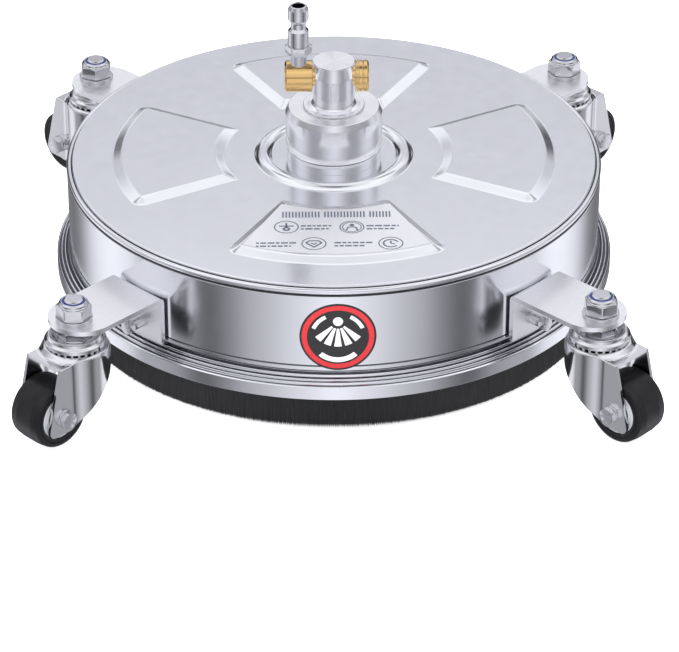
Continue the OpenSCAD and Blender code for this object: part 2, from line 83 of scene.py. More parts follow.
RING_H = 3.0
BEAD_OUT = 0.3
SHEET_T = 1.5
SKIRT_R = deck_high[0] - BEAD_OUT
SKIRT_LOW = deck_low[2]
DECK_Z = deck_high[2] - RING_H
FORK_W = 30.0
CROWN_Z = race_low[2] - 1.0
RACE_RISE = 3.0
BALL_COUNT = 26
BALL_RING_R = 17.3
BALL_R = 1.2
BRACKET_Z = washer_low[2]


# ---- outlines ----

def arc(middle, radius, start_deg, end_deg, steps):
    """Points along an arc."""
    turn = np.radians(np.linspace(start_deg, end_deg, steps + 1))
    return [(middle[0] + radius * math.cos(a), middle[1] + radius * math.sin(a)) for a in turn]


def rounded(corners, steps=4, closed=False):
    """Outline through (x, y) or (x, y, fillet) corners, each fillet drawn as an arc."""
    count = len(corners)
    points = []
    for i, corner in enumerate(corners):
        here = np.array(corner[:2], float)
        fillet = corner[2] if len(corner) > 2 else 0
        if fillet <= 0 or (not closed and i in (0, count - 1)):
            points.append(tuple(here))
            continue
        before = np.array(corners[i - 1][:2], float) - here
        after = np.array(corners[(i + 1) % count][:2], float) - here
        reach = min(np.linalg.norm(before), np.linalg.norm(after)) * 0.49
        before /= np.linalg.norm(before)
        after /= np.linalg.norm(after)
        half = math.acos(float(np.clip(before @ after, -1, 1))) / 2
        if half > math.radians(89):
            points.append(tuple(here))
            continue
        cut = min(fillet / math.tan(half), reach)
        radius = cut * math.tan(half)
        inward = (before + after) / np.linalg.norm(before + after)
        middle = here + inward * (radius / math.sin(half))
        first = here + before * cut - middle
        last = here + after * cut - middle
        sweep = math.atan2(first[0] * last[1] - first[1] * last[0], float(first @ last))
        for k in range(steps + 1):
            a = sweep * k / steps
            turned = (
                first[0] * math.cos(a) - first[1] * math.sin(a),
                first[0] * math.sin(a) + first[1] * math.cos(a),
            )
            points.append((middle[0] + turned[0], middle[1] + turned[1]))
    return points


def finer(points, step):
    """The same outline with no side longer than a step."""
    result = [points[0]]
    for start, end in zip(points[:-1], points[1:]):
        parts = max(1, math.ceil(math.dist(start, end) / step))
        for k in range(1, parts + 1):
            result.append(tuple(a + (b - a) * k / parts for a, b in zip(start, end)))
    return result


def groove_shade_finish(points, shaded_grooves, plain, shade):
    """Finish of each side of an outline: the painted-shade finish where the side starts within reach of a
    shaded groove.
    """
    return [
        shade if any(math.dist(point, (r, z)) < reach for r, z, reach in shaded_grooves) else plain
        for point in points
    ]


def smooth_step(x, low, high):
    t = np.clip((x - low) / (high - low), 0, 1)
    return t * t * (3 - 2 * t)


# ---- meshes ----

class Shape:
    """Gathers grids of points in millimetres, and makes one object of them."""

    def __init__(self):
        self.points = []
        self.faces = []
        self.finishes = []
        self.count = 0

    def grid(self, points, closed_rows=False, closed_cols=False, finish=0):
        """Adds rows x columns of points; a closed direction joins its last line to its first.

        The finish is one number, or one for each row of faces.
        """
        points = np.asarray(points, float)
        rows, cols = points.shape[:2]
        index = np.arange(rows * cols).reshape(rows, cols) + self.count
        if closed_rows:
            index = np.vstack([index, index[:1]])
        if closed_cols:
            index = np.hstack([index, index[:, :1]])
        quads = np.stack([index[:-1, :-1], index[:-1, 1:], index[1:, 1:], index[1:, :-1]], axis=-1)
        self.points.append(points.reshape(-1, 3))
        self.faces.append(quads.reshape(-1, 4))
        self.finishes.append(np.broadcast_to(np.reshape(finish, (-1, 1)), quads.shape[:2]).ravel())
        self.count += rows * cols
        return self

    def turned(self, profile, segments=128, closed=True, place=None, face_finish=0, finish=None):
        """Adds a profile of (radius, height) points turned about +Z, then put at a place.

        Wide level faces may have a finish of their own, or each side of the profile may.
        """
        angle = np.linspace(0, 2 * math.pi, segments, endpoint=False)
        radius = np.array([p[0] for p in profile])[:, None]
        height = np.array([p[1] for p in profile])[:, None] * np.ones(segments)
        points = np.stack([radius * np.cos(angle), radius * np.sin(angle), height], axis=-1)
        ends = profile[1:] + profile[:1] if closed else profile[1:]
        if finish is None:
            level = [abs(a[1] - b[1]) < 0.01 and abs(a[0] - b[0]) > 1 for a, b in zip(profile, ends)]
            finish = np.array(level) * face_finish
        return self.grid(placed(points, place), closed, True, finish)

    def hexagon(self, flats, low, high, chamfer=0.8, bore=0.0, turn_deg=0.0, place=None, finish=0):
        """Adds a hexagon nut or head: rounded corners, and cone-cut chamfers at both ends."""
        half = flats / 2
        steps = np.array([0, 6, 14, 21, 26, 28.5, 30, 31.5, 34, 39, 46, 54])
        angle = np.radians(np.concatenate([60 * k + steps for k in range(6)]))
        off_flat = np.abs((np.degrees(angle) + 30) % 60 - 30)
        side = np.minimum(half / np.cos(np.radians(off_flat)), half * 1.135)
        ring_r = half * 0.985
        drop = np.maximum(side - ring_r, 0) * math.tan(math.radians(30)) + chamfer * 0.1
        middle_r = np.full_like(side, max(bore, 0))
        rows = [
            (middle_r, low), (np.full_like(side, ring_r), low), (side, low + drop),
            (side, high - drop), (np.full_like(side, ring_r), high), (middle_r, high),
        ]
        turn = angle + math.radians(turn_deg)
        points = np.stack([
            np.stack([r * np.cos(turn), r * np.sin(turn), np.broadcast_to(z, r.shape)], axis=-1)
            for r, z in rows
        ])
        return self.grid(placed(points, place), bore > 0, True, finish)

    def build(self, name, finishes, body, slot, replaces=(), weld=True, bevel=0.0, shell=0.0):
        """Makes the object, smooths it, puts it on its body, gives it its finishes and hides the nodes it
        replaces.
        """
        mesh = bpy.data.meshes.new(name)
        points = np.concatenate(self.points) * MM
        faces = np.concatenate(self.faces)
        mesh.from_pydata(points.tolist(), [], faces.tolist())
        mesh.polygons.foreach_set("material_index", np.concatenate(self.finishes))
        if weld:
            work = bmesh.new()
            work.from_mesh(mesh)
            bmesh.ops.remove_doubles(work, verts=work.verts, dist=2e-6)
            bmesh.ops.dissolve_degenerate(work, edges=work.edges, dist=1e-6)
            bmesh.ops.recalc_face_normals(work, faces=work.faces)
            work.to_mesh(mesh)
            work.free()
        mesh.polygons.foreach_set("use_smooth", np.ones(len(mesh.polygons), bool))
        for finish in finishes:
            mesh.materials.append(finish)
        piece = bpy.data.objects.new(name, mesh)
        bpy.context.scene.collection.objects.link(piece)
        if shell:
            modifier = piece.modifiers.new("sheet", "SOLIDIFY")
            modifier.thickness = shell * MM
            modifier.offset = -1
            modifier.use_even_offset = True
        if bevel:
            modifier = piece.modifiers.new("edges", "BEVEL")
            modifier.width = bevel * MM
            modifier.segments = 3
            modifier.limit_method = "ANGLE"
            modifier.angle_limit = math.radians(40)
        modifier = piece.modifiers.new("normals", "WEIGHTED_NORMAL")
        modifier.keep_sharp = True
        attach(piece, body)
        if replaces:
            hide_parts(*replaces)
        return piece


def placed(points, place):
    """Points in millimetres, moved by a 4x4 placement whose shift is in millimetres too."""
    if place is None:
        return points
    matrix = np.array(place)
    return points @ matrix[:3, :3].T + matrix[:3, 3]


def upright(x, y, turn_deg=0.0):
    """Placement of an upright shape: turned about +Z, then moved to (x, y)."""
    return Matrix.Translation((x, y, 0)) @ Matrix.Rotation(math.radians(turn_deg), 4, "Z")


def along(origin, direction):
    """Placement that lays a shape's +Z along a direction, from an origin."""
    turn = Vector(direction).to_track_quat("Z", "Y").to_matrix().to_4x4()
    return Matrix.Translation(origin) @ turn


# ---- materials ----

class Finish:
    """A procedural material, with one Principled shader and the textures that vary it."""

    def __init__(self, name, color, roughness, metallic=0.0, **sockets):
        self.material = bpy.data.materials.new(name)
        self.material.use_nodes = True
        self.material.diffuse_color = (*color, 1)
        tree = self.material.node_tree
        self.nodes, self.links = tree.nodes, tree.links
        self.shader = self.nodes["Principled BSDF"]
        self.color, self.rough = color, roughness
        self.shader.inputs["Base Color"].default_value = (*color, 1)
        self.shader.inputs["Roughness"].default_value = roughness
        self.shader.inputs["Metallic"].default_value = metallic
        for socket, value in sockets.items():
            self.shader.inputs[socket.replace("_", " ")].default_value = value
        self.place = self.nodes.new("ShaderNodeTexCoord").outputs["Object"]

    def noise(self, size_mm, detail=3.0, stretch=(1, 1, 1)):
        """Noise whose features are about size_mm across, divided along each axis by stretch."""
        mapping = self.nodes.new("ShaderNodeMapping")
        mapping.inputs["Scale"].default_value = stretch
        self.links.new(self.place, mapping.inputs["Vector"])
        texture = self.nodes.new("ShaderNodeTexNoise")
        texture.inputs["Scale"].default_value = 1 / (size_mm * MM)
        texture.inputs["Detail"].default_value = detail
        self.links.new(mapping.outputs["Vector"], texture.inputs["Vector"])
        return texture.outputs["Fac"]

    def rays(self, per_radian):
        """Noise that runs in rays from the +Z axis."""
        split = self.nodes.new("ShaderNodeSeparateXYZ")
        self.links.new(self.place, split.inputs["Vector"])
        turn = self.nodes.new("ShaderNodeMath")
        turn.operation = "ARCTAN2"
        self.links.new(split.outputs["X"], turn.inputs[0])
        self.links.new(split.outputs["Y"], turn.inputs[1])
        texture = self.nodes.new("ShaderNodeTexNoise")
        texture.noise_dimensions = "1D"
        texture.inputs["Scale"].default_value = per_radian
        self.links.new(turn.outputs["Value"], texture.inputs["W"])
        return texture.outputs["Fac"]

    def vary_color(self, source, spread):
        """Lightens and darkens the colour by a share of itself."""
        ramp = self.nodes.new("ShaderNodeValToRGB")
        ramp.color_ramp.elements[0].position = 0.3
        ramp.color_ramp.elements[1].position = 0.7
        for element, change in zip(ramp.color_ramp.elements, (1 - spread, 1 + spread)):
            element.color = (*[min(c * change, 1) for c in self.color], 1)
        self.links.new(source, ramp.inputs["Fac"])
        self.links.new(ramp.outputs["Color"], self.shader.inputs["Base Color"])

    def vary_roughness(self, source, spread):
        """Spreads the roughness on both sides of its value."""
        remap = self.nodes.new("ShaderNodeMapRange")
        remap.inputs["From Min"].default_value = 0.3
        remap.inputs["From Max"].default_value = 0.7
        remap.inputs["To Min"].default_value = self.rough - spread
        remap.inputs["To Max"].default_value = self.rough + spread
        self.links.new(source, remap.inputs["Value"])
        self.links.new(remap.outputs["Result"], self.shader.inputs["Roughness"])

    def bump(self, source, height_mm, strength):
        """Raises the surface by up to height_mm."""
        bump = self.nodes.new("ShaderNodeBump")
        bump.inputs["Strength"].default_value = strength
        bump.inputs["Distance"].default_value = height_mm * MM
        self.links.new(source, bump.inputs["Height"])
        self.links.new(bump.outputs["Normal"], self.shader.inputs["Normal"])

    def worn(self, color, roughness, bump=None):
        """Sets what varies the colour, the roughness and the height, and gives the material."""
        self.vary_color(*color)
        self.vary_roughness(*roughness)
        if bump:
            self.bump(*bump)
        return self.material

    def turned_grain(self):
        """Lays the shader's tangent round +Z, as on a face cut on a lathe."""
        tangent = self.nodes.new("ShaderNodeTangent")
        tangent.direction_type = "RADIAL"
        tangent.axis = "Z"
        self.links.new(tangent.outputs["Tangent"], self.shader.inputs["Tangent"])


def sheet_steel(name, roughness, color=(0.86, 0.865, 0.895)):
    """Polished stainless sheet, with faint rolling marks and smears."""
    finish = Finish(name, color, roughness, 1.0)
    return finish.worn((finish.noise(38, 2), 0.012), (finish.noise(9, 4), 0.02),
                       (finish.noise(60, 1), 0.02, 0.6))


def satin_steel():
    """Ground plate: its grain is blurred lines."""
    finish = Finish("satin_steel", (0.93, 0.93, 0.95), 0.32, 1.0)
    return finish.worn((finish.noise(3, 3, (1, 1, 9)), 0.02), (finish.noise(5, 4, (1, 1, 5)), 0.04),
                       (finish.noise(0.5, 2, (1, 1, 0.2)), 0.003, 0.4))


def turned_steel(name, roughness, anisotropy):
    """Lathe-cut steel: its highlights fan out from the axis."""
    finish = Finish(name, (0.86, 0.86, 0.885), roughness, 1.0, Anisotropic=anisotropy)
    finish.turned_grain()
    return finish.worn((finish.noise(14, 3), 0.02), (finish.noise(4, 3), 0.02))


def faced_steel():
    """End face cut on a lathe: bright, with rays of painted highlight and shade that fan out from the axis.
    """
    finish = Finish("faced_steel", (0.96, 0.96, 0.975), 0.28, 1.0, Anisotropic=0.45)
    finish.turned_grain()
    # The rays lighten and darken the colour: painted highlight, standing in for a turned face's fanning
    # highlights.
    return finish.worn((finish.rays(1.6), 0.09), (finish.noise(9, 2), 0.01))


def plated_steel(name, color, roughness):
    """Bright plating over pressed or headed steel, with a faint waviness."""
    finish = Finish(name, color, roughness, 1.0)
    return finish.worn((finish.noise(6, 3), 0.012), (finish.noise(4, 3), 0.012),
                       (finish.noise(9, 1), 0.008, 0.3))


def turned_brass():
    """Lathe-cut brass, with fine lines round it."""
    finish = Finish("turned_brass", (0.80, 0.53, 0.22), 0.16, 1.0)
    return finish.worn((finish.noise(7, 3), 0.02), (finish.noise(3, 2, (4, 1, 1)), 0.015),
                       (finish.noise(0.5, 1, (3, 0.1, 0.1)), 0.002, 0.25))


def black_rubber():
    """Tyre rubber: semi gloss, with a faint grain and dust."""
    finish = Finish("black_rubber", (0.007, 0.007, 0.008), 0.38, Specular_IOR_Level=0.3)
    return finish.worn((finish.noise(8, 5), 0.35), (finish.noise(3, 4), 0.05),
                       (finish.noise(0.7, 3), 0.02, 0.4))


def moulded(name, color, roughness):
    """Moulded plastic or rubber with a light grain."""
    finish = Finish(name, color, roughness)
    return finish.worn((finish.noise(9, 3), 0.08), (finish.noise(4, 3), 0.04),
                       (finish.noise(1.2, 2), 0.01, 0.4))


def bristle_nylon():
    """Black nylon filaments: streaks run up and down."""
    finish = Finish("bristle_nylon", (0.010, 0.010, 0.011), 0.36, Specular_IOR_Level=0.5)
    return finish.worn((finish.noise(0.8, 3, (1, 1, 0.05)), 0.5), (finish.noise(2, 3, (1, 1, 0.1)), 0.08),
                       (finish.noise(0.4, 2, (1, 1, 0.04)), 0.08, 0.6))


def ink(name, color):
    """Printed ink, a little uneven."""
    finish = Finish(name, color, 0.38)
    return finish.worn((finish.noise(2, 3), 0.08), (finish.noise(3, 2), 0.04))


DECK_STEEL = sheet_steel("deck_steel", 0.17)
SKIRT_STEEL = sheet_steel("skirt_steel", 0.15)
# Dark grey steel for the faces of the rim, foot and flange grooves: painted shade, where the grooves look
# dark.
GROOVE_SHADE_STEEL = sheet_steel("groove_shade_steel", 0.35, (0.12, 0.12, 0.13))
SATIN = satin_steel()
TURNED = turned_steel("turned_steel", 0.16, 0.5)
FACED = faced_steel()
ZINC = plated_steel("zinc_plate", (0.68, 0.68, 0.70), 0.14)
CHROME = plated_steel("chrome_plate", (0.76, 0.76, 0.775), 0.12)
GROUND = plated_steel("bearing_steel", (0.68, 0.68, 0.70), 0.12)
SPRING = plated_steel("spring_steel", (0.10, 0.10, 0.11), 0.35)
BRASS = turned_brass()
TYRE = black_rubber()
BRISTLE = bristle_nylon()
PLASTIC_BLACK = moulded("black_plastic", (0.018, 0.018, 0.02), 0.45)
PLASTIC_GREY = moulded("grey_plastic", (0.50, 0.51, 0.53), 0.3)
PLASTIC_BLUE = moulded("blue_nylon", (0.018, 0.04, 0.22), 0.3)
SEAL = moulded("seal_rubber", (0.015, 0.015, 0.015), 0.5)
PTFE = moulded("ptfe", (0.80, 0.79, 0.74), 0.4)
INK_RED = ink("ink_red", (0.60, 0.012, 0.018))
INK_BLACK = ink("ink_black", (0.016, 0.014, 0.015))
INK_WHITE = ink("ink_white", (0.80, 0.80, 0.82))
INK_GREY = ink("ink_grey", (0.075, 0.09, 0.13))
FILM = sheet_steel("label_film", 0.4, (0.965, 0.965, 0.98))


# ---- housing ----

PANEL_IN_R = 69.0
PANEL_OUT_R = 141.0
PANEL_HALF_DEG = 29.0
PANEL_RAISE = 2.3
PANEL_SLOPE = 7.0
PANEL_CORNER_R = 8.0
BEAD_MID_R = 44.9
BEAD_R = 6.3


def panel_lift(radius, angle):
    """How far the pressed panels stand above the deck: four sectors with sloped borders."""
    off_middle = np.abs((np.degrees(angle) + 45) % 90 - 45)
    side = radius * np.sin(np.radians(PANEL_HALF_DEG - off_middle))
    outer = PANEL_OUT_R - radius
    inner = radius - PANEL_IN_R
    corner = PANEL_CORNER_R - np.hypot(
        np.maximum(PANEL_CORNER_R - side, 0), np.maximum(PANEL_CORNER_R - outer, 0)
    )
    inside = np.where((side < PANEL_CORNER_R) & (outer < PANEL_CORNER_R), corner, np.minimum(side, outer))
    share = np.clip(np.minimum(inside, inner) / PANEL_SLOPE, 0, 1)
    soft = 0.12
    foot = np.where(share < soft, share ** 2 / (2 * soft), share - soft / 2)
    brow = np.where(share > 1 - soft, (1 - share) ** 2 / (2 * soft), 0)
    flat_top = np.where(share > 1 - soft, 1 - soft - brow, foot)
    return PANEL_RAISE * flat_top / (1 - soft)


def ring_lift(radius):
    """Height of the pressed ring bead round the hub."""
    bulge = np.sqrt(np.maximum(BEAD_R ** 2 - (radius - BEAD_MID_R) ** 2, 0)) - (BEAD_R - RING_H)
    return np.maximum(bulge, 0)


def deck_shell():
    """The round pan in one skin: deck with panels and ring bead, rolled rim, skirt and inside.

    Its rim's grooves, its skirt's foot groove and its joint with the flange get a dark steel finish:
    painted shade.
    """
    flat = np.concatenate([
        np.linspace(24, 39, 4, endpoint=False), np.linspace(39, 51, 25, endpoint=False),
        np.linspace(51, 67, 5, endpoint=False), np.linspace(67, 143, 96, endpoint=False),
        np.linspace(143, SKIRT_R - 5, 4),
    ])
    top = [(r, DECK_Z + ring_lift(r), 1) for r in flat]
    roll = (SKIRT_R + BEAD_OUT - 1.9, DECK_Z - 3)
    edge = rounded([
        (SKIRT_R - 5, DECK_Z), (SKIRT_R - 2.9, DECK_Z, 1.3), (SKIRT_R - 3.4, DECK_Z - 2.4, 0.4),
        arc(roll, 1.9, 140, 139, 1)[0],
    ], 5)[1:-1]
    outside = finer(edge + arc(roll, 1.9, 140, -52, 14) + rounded([
        (SKIRT_R - 1.0, DECK_Z - 4.9), (SKIRT_R - 0.9, DECK_Z - 5.4, 0.2), (SKIRT_R, DECK_Z - 6.0, 0.4),
        (SKIRT_R, DECK_Z - 9),
    ], 3)[1:], 0.4)
    down = [(SKIRT_R, z) for z in np.linspace(DECK_Z - 20, SKIRT_LOW + 6, 5)]
    down += finer(rounded([
        (SKIRT_R, SKIRT_LOW + 5), (SKIRT_R, SKIRT_LOW + 4.4, 0.2), (SKIRT_R - 0.7, SKIRT_LOW + 3.9, 0.2),
        (SKIRT_R, SKIRT_LOW + 3.2, 0.2), (SKIRT_R, SKIRT_LOW + 0.5),
    ], 3), 0.4)
    inner_r = SKIRT_R - SHEET_T
    inside = [(SKIRT_R - 0.3, SKIRT_LOW), (inner_r + 0.3, SKIRT_LOW), (inner_r, SKIRT_LOW + 0.5)]
    inside += [(inner_r, DECK_Z - 8), (inner_r, DECK_Z - 4), (inner_r - 1.5, DECK_Z - SHEET_T - 0.6)]
    under = [(r, DECK_Z + ring_lift(r) - SHEET_T, 1) for r in flat[::-2]]
    rows = top + [(r, z, 0) for r, z in outside + down + inside] + under
    angle = np.linspace(0, 2 * math.pi, 960, endpoint=False)
    radius = np.array([row[0] for row in rows])[:, None] * np.ones(len(angle))
    lift = panel_lift(radius, angle[None, :]) * np.array([row[2] for row in rows])[:, None]
    height = np.array([row[1] for row in rows])[:, None] + lift
    points = np.stack([radius * np.cos(angle), radius * np.sin(angle), height], axis=-1)
    # Faces within reach of these grooves get the dark steel: painted shade.
    shaded_grooves = (
        (SKIRT_R - 3.4, DECK_Z - 2.4, 1.2), (SKIRT_R - 1.0, DECK_Z - 5.1, 1.0),
        (SKIRT_R - 0.7, SKIRT_LOW + 3.9, 0.7), (SKIRT_R, SKIRT_LOW + 0.2, 0.8),
    )
    finish = [0] * len(top) + groove_shade_finish(outside + down, shaded_grooves, 1, 2) + [0] * len(inside + under)
    shape = Shape().grid(points, True, True, finish)
    shape.build(
        "deck_shell", [DECK_STEEL, SKIRT_STEEL, GROOVE_SHADE_STEEL], "root", "stainless_polished", ["deck_cover"]
    )


def flange_ring():
    """The stepped ring and lip under the skirt, with two rolled ridges, and painted shade in its valleys as
    a dark steel finish.
    """
    low, high = flange_low[2], flange_high[2]
    lip_r = flange_high[0]
    in_r = SKIRT_R - SHEET_T - 0.1
    ridge_z = SKIRT_LOW - 3
    profile = finer(rounded([
        (in_r, high), (in_r, ridge_z + 2.0), (SKIRT_R + 0.2, ridge_z + 1.6, 0.3),
        (SKIRT_R + 1.4, ridge_z + 1.6, 0.5), (SKIRT_R + 1.8, ridge_z - 2.0, 0.5),
        (SKIRT_R + 3.0, ridge_z - 0.2, 0.5), (SKIRT_R + 3.7, ridge_z - 0.4, 0.5),
        (SKIRT_R + 4.1, ridge_z - 3.2, 0.5), (SKIRT_R + 5.3, ridge_z - 1.3, 0.5),
        (SKIRT_R + 5.9, ridge_z - 1.5, 0.5), (SKIRT_R + 6.3, ridge_z - 4.2, 0.4),
        (lip_r - 0.9, ridge_z - 2.9, 0.3), (lip_r, ridge_z - 3.6, 0.5),
        (lip_r, low, 0.4), (lip_r - SHEET_T, low, 0.4), (lip_r - SHEET_T, 35.1),
        (in_r - SHEET_T, 35.1), (in_r - SHEET_T, high),
    ], 4, closed=True), 0.5)
    # Faces within reach of these valleys get the dark steel: painted shade.
    shaded_grooves = (
        (SKIRT_R + 0.2, ridge_z + 1.6, 0.8), (SKIRT_R + 1.8, ridge_z - 2.0, 1.7),
        (SKIRT_R + 4.1, ridge_z - 3.2, 1.2), (SKIRT_R + 6.3, ridge_z - 4.2, 0.8),
    )
    shape = Shape().turned(profile, 512, finish=groove_shade_finish(profile, shaded_grooves, 0, 1))
    shape.build("flange_ring", [SKIRT_STEEL, GROOVE_SHADE_STEEL], "root", "stainless_polished", ["lower_flange"])


def bristle_skirt():
    """Rows of bristle tufts: ribs up and down, with uneven tips."""
    tufts = 880
    across = 4
    seed = np.random.default_rng(14)
    out_r, low, high = brush_high[0], brush_low[2], brush_high[2]
    rows = 9
    shape = Shape()
    for layer, (radius, sink) in enumerate(((out_r - 0.9, 0.0), (out_r - 4.0, 0.4), (out_r - 6.6, 0.2))):
        count = tufts * across
        angle = np.arange(count) * 2 * math.pi / count + layer * math.pi / tufts
        phase = np.arange(count) % across / across
        rib = 0.9 * np.sin(math.pi * phase) ** 0.6
        tip = np.repeat(seed.uniform(0, 0.35, tufts), across) + sink + 1.6 * (0.9 - rib)
        lean = np.repeat(seed.normal(0, 0.0006, tufts), across)
        share = np.linspace(0, 1, rows)[:, None]
        height = high + (low + tip[None, :] - high) * share
        turn = angle[None, :] + lean[None, :] * share ** 2
        spread = radius + rib[None, :] * (0.55 + 0.45 * share)
        points = np.stack([spread * np.cos(turn), spread * np.sin(turn), height], axis=-1)
        inner = points[::-1].copy()
        scale = (radius - 1.2) / spread[::-1]
        inner[..., 0] *= scale
        inner[..., 1] *= scale
        shape.grid(np.concatenate([points, inner]), True, True)
    shape.build("bristle_skirt", [BRISTLE], "root", "bristle_nylon", ["brush_bristles"], weld=False)


# ---- prints: the badge and the marks on the front panel ----

def on_skirt(x, z, proud):
    """Point on the front of the skirt, a little proud of it."""
    radius = SKIRT_R + proud
    return np.stack([x, -np.sqrt(radius ** 2 - x ** 2), z], axis=-1)


def on_panel(x, y, proud):
    """Point on the front panel's flat top."""
    return np.stack([x, y, np.full_like(x, DECK_Z + PANEL_RAISE + proud)], axis=-1)


def disc_patch(shape, surface, middle, r_in, r_out, proud, finish, start_deg=0.0, end_deg=360.0):
    """Adds a disc, ring or part of one to a surface."""
    steps = max(6, int(abs(end_deg - start_deg) / 6))
    angle = np.radians(np.linspace(start_deg, end_deg, steps + 1))[None, :]
    radius = np.linspace(r_in, r_out, max(2, int((r_out - r_in) / 3) + 2))[:, None]
    x = middle[0] + radius * np.cos(angle)
    y = middle[1] + radius * np.sin(angle)
    shape.grid(surface(x, y, proud)[::-1], finish=finish)


def strip_patch(shape, surface, points, width, proud, finish):
    """Adds a line of a given width through some points to a surface."""
    for start, end in zip(points[:-1], points[1:]):
        start, end = np.array(start, float), np.array(end, float)
        run = end - start
        across = np.array([-run[1], run[0]]) / np.linalg.norm(run) * width / 2
        share = np.linspace(0, 1, max(2, int(np.linalg.norm(run) / 3) + 2))[None, :]
        side = np.array([1.0, -1.0])[:, None]
        x = start[0] + run[0] * share + across[0] * side
        y = start[1] + run[1] * share + across[1] * side
        shape.grid(surface(x, y, proud), finish=finish)


def badge_disc():
    """Round sticker: a red ring on black, with a plain white fan of spray over a ground band."""
    middle = (0.0, (badge_low[2] + badge_high[2]) / 2)
    radius = badge_high[0]
    field = radius - 4.5
    proud = 0.12
    shape = Shape()
    disc_patch(shape, on_skirt, middle, 0.0, radius, proud, 1)
    disc_patch(shape, on_skirt, middle, field, radius - 1.3, proud + 0.05, 0)
    nozzle = (middle[0], middle[1] + 11.0)
    disc_patch(shape, on_skirt, nozzle, 0.0, 3.0, proud + 0.1, 2)
    for turn in (-134, -112, -90, -68, -46):
        disc_patch(shape, on_skirt, nozzle, 5.0, 17.5, proud + 0.1, 2, turn - 7.5, turn + 7.5)
    disc_patch(shape, on_skirt, middle, field - 4.6, field - 1.2, proud + 0.1, 2, -132, -48)
    disc_patch(shape, on_skirt, middle, field - 4.0, field - 1.6, proud + 0.1, 2, 118, 158)
    disc_patch(shape, on_skirt, middle, field - 4.0, field - 1.6, proud + 0.1, 2, 22, 62)
    shape.build(
        "badge_disc", [INK_RED, INK_BLACK, INK_WHITE], "root", "badge_vinyl", ["badge"], weld=False
    )


PRINT_PROUD = 0.08


def panel_line(shape, points, width):
    """Adds a printed line through some points of the front panel."""
    strip_patch(shape, on_panel, points, width, PRINT_PROUD, 0)


def panel_ring(shape, middle, r_in, r_out, start_deg=0.0, end_deg=360.0):
    """Adds a printed ring, disc or part of one to the front panel."""
    disc_patch(shape, on_panel, middle, r_in, r_out, PRINT_PROUD, 0, start_deg, end_deg)


def text_bar(shape, start, length, height, seed):
    """Adds a row of plain dashes, as long as a line of small print."""
    x = start[0]
    end = start[0] + length
    while x < end - 0.8:
        dash = min(seed.uniform(1.6, 4.6), end - x)
        panel_line(shape, [(x, start[1]), (x + dash, start[1])], height)
        x += dash + 0.8


def title_bar(shape, start, length, height, seed):
    """Adds a row of plain upright strokes in groups, as long as a title."""
    x = start[0]
    while x < start[0] + length:
        for _ in range(seed.integers(7, 15)):
            panel_line(shape, [(x, start[1] - height / 2), (x, start[1] + height / 2)], 1.0)
            x += 2.0
        x += 1.8


def panel_film(shape):
    """Adds the pale film under the print: a sector that covers the panel's flat top."""
    inset = PANEL_SLOPE + 1.5
    half = PANEL_HALF_DEG - math.degrees(inset / PANEL_OUT_R)
    disc_patch(
        shape, on_panel, (0, 0), PANEL_IN_R + inset, PANEL_OUT_R - inset, 0.04, 1, -90 - half, half - 90
    )


def panel_print():
    """Marks on the front panel: a title bar, and four round icons with lines of dashes."""
    shape = Shape()
    seed = np.random.default_rng(5)
    panel_film(shape)
    title_bar(shape, (-32.5, -83.4), 63.0, 7.2, seed)
    icons = ((-30.5, -98.7), (9.6, -99.3), (-13.8, -119.3), (32.9, -119.5))
    for x, y in icons:
        panel_ring(shape, (x, y), 6.9, 7.65)
    x, y = icons[0]
    panel_line(shape, [(x - 4.5, y + 1.2), (x + 4.5, y + 1.2)], 1.2)
    panel_line(shape, [(x, y + 5), (x, y - 1)], 1.2)
    panel_ring(shape, (x, y - 2.4), 0.9, 2.4)
    x, y = icons[1]
    panel_ring(shape, (x, y), 5.4, 6.0)
    panel_line(shape, [(x - 3.4, y - 4), (x - 2.4, y), (x + 2.4, y), (x + 3.4, y - 4)], 1.0)
    panel_ring(shape, (x, y + 2.4), 0.0, 1.5)
    x, y = icons[2]
    outline = [(x - 4.8, y + 1), (x - 2.8, y + 3.4), (x + 2.8, y + 3.4), (x + 4.8, y + 1), (x, y - 4.4)]
    panel_line(shape, outline + outline[:1], 1.1)
    panel_line(shape, [(x - 1.8, y + 0.8), (x, y - 1), (x + 1.8, y + 0.8)], 1.0)
    x, y = icons[3]
    panel_ring(shape, (x, y), 3.9, 5.0, 20, 320)
    panel_line(shape, [(x, y + 3), (x, y), (x + 2.4, y - 1)], 1.0)
    for x, y, length in ((-21.6, -97.4, 20), (18.5, -97.8, 20), (-49.0, -118.2, 25), (-1.4, -118.4, 23)):
        text_bar(shape, (x, y), length, 1.6, seed)
        text_bar(shape, (x, y - 3.8), length * 0.85, 1.6, seed)
    shape.build("panel_print", [INK_GREY, FILM], "root", "badge_vinyl", weld=False)


# ---- hub and swinging inlet ----

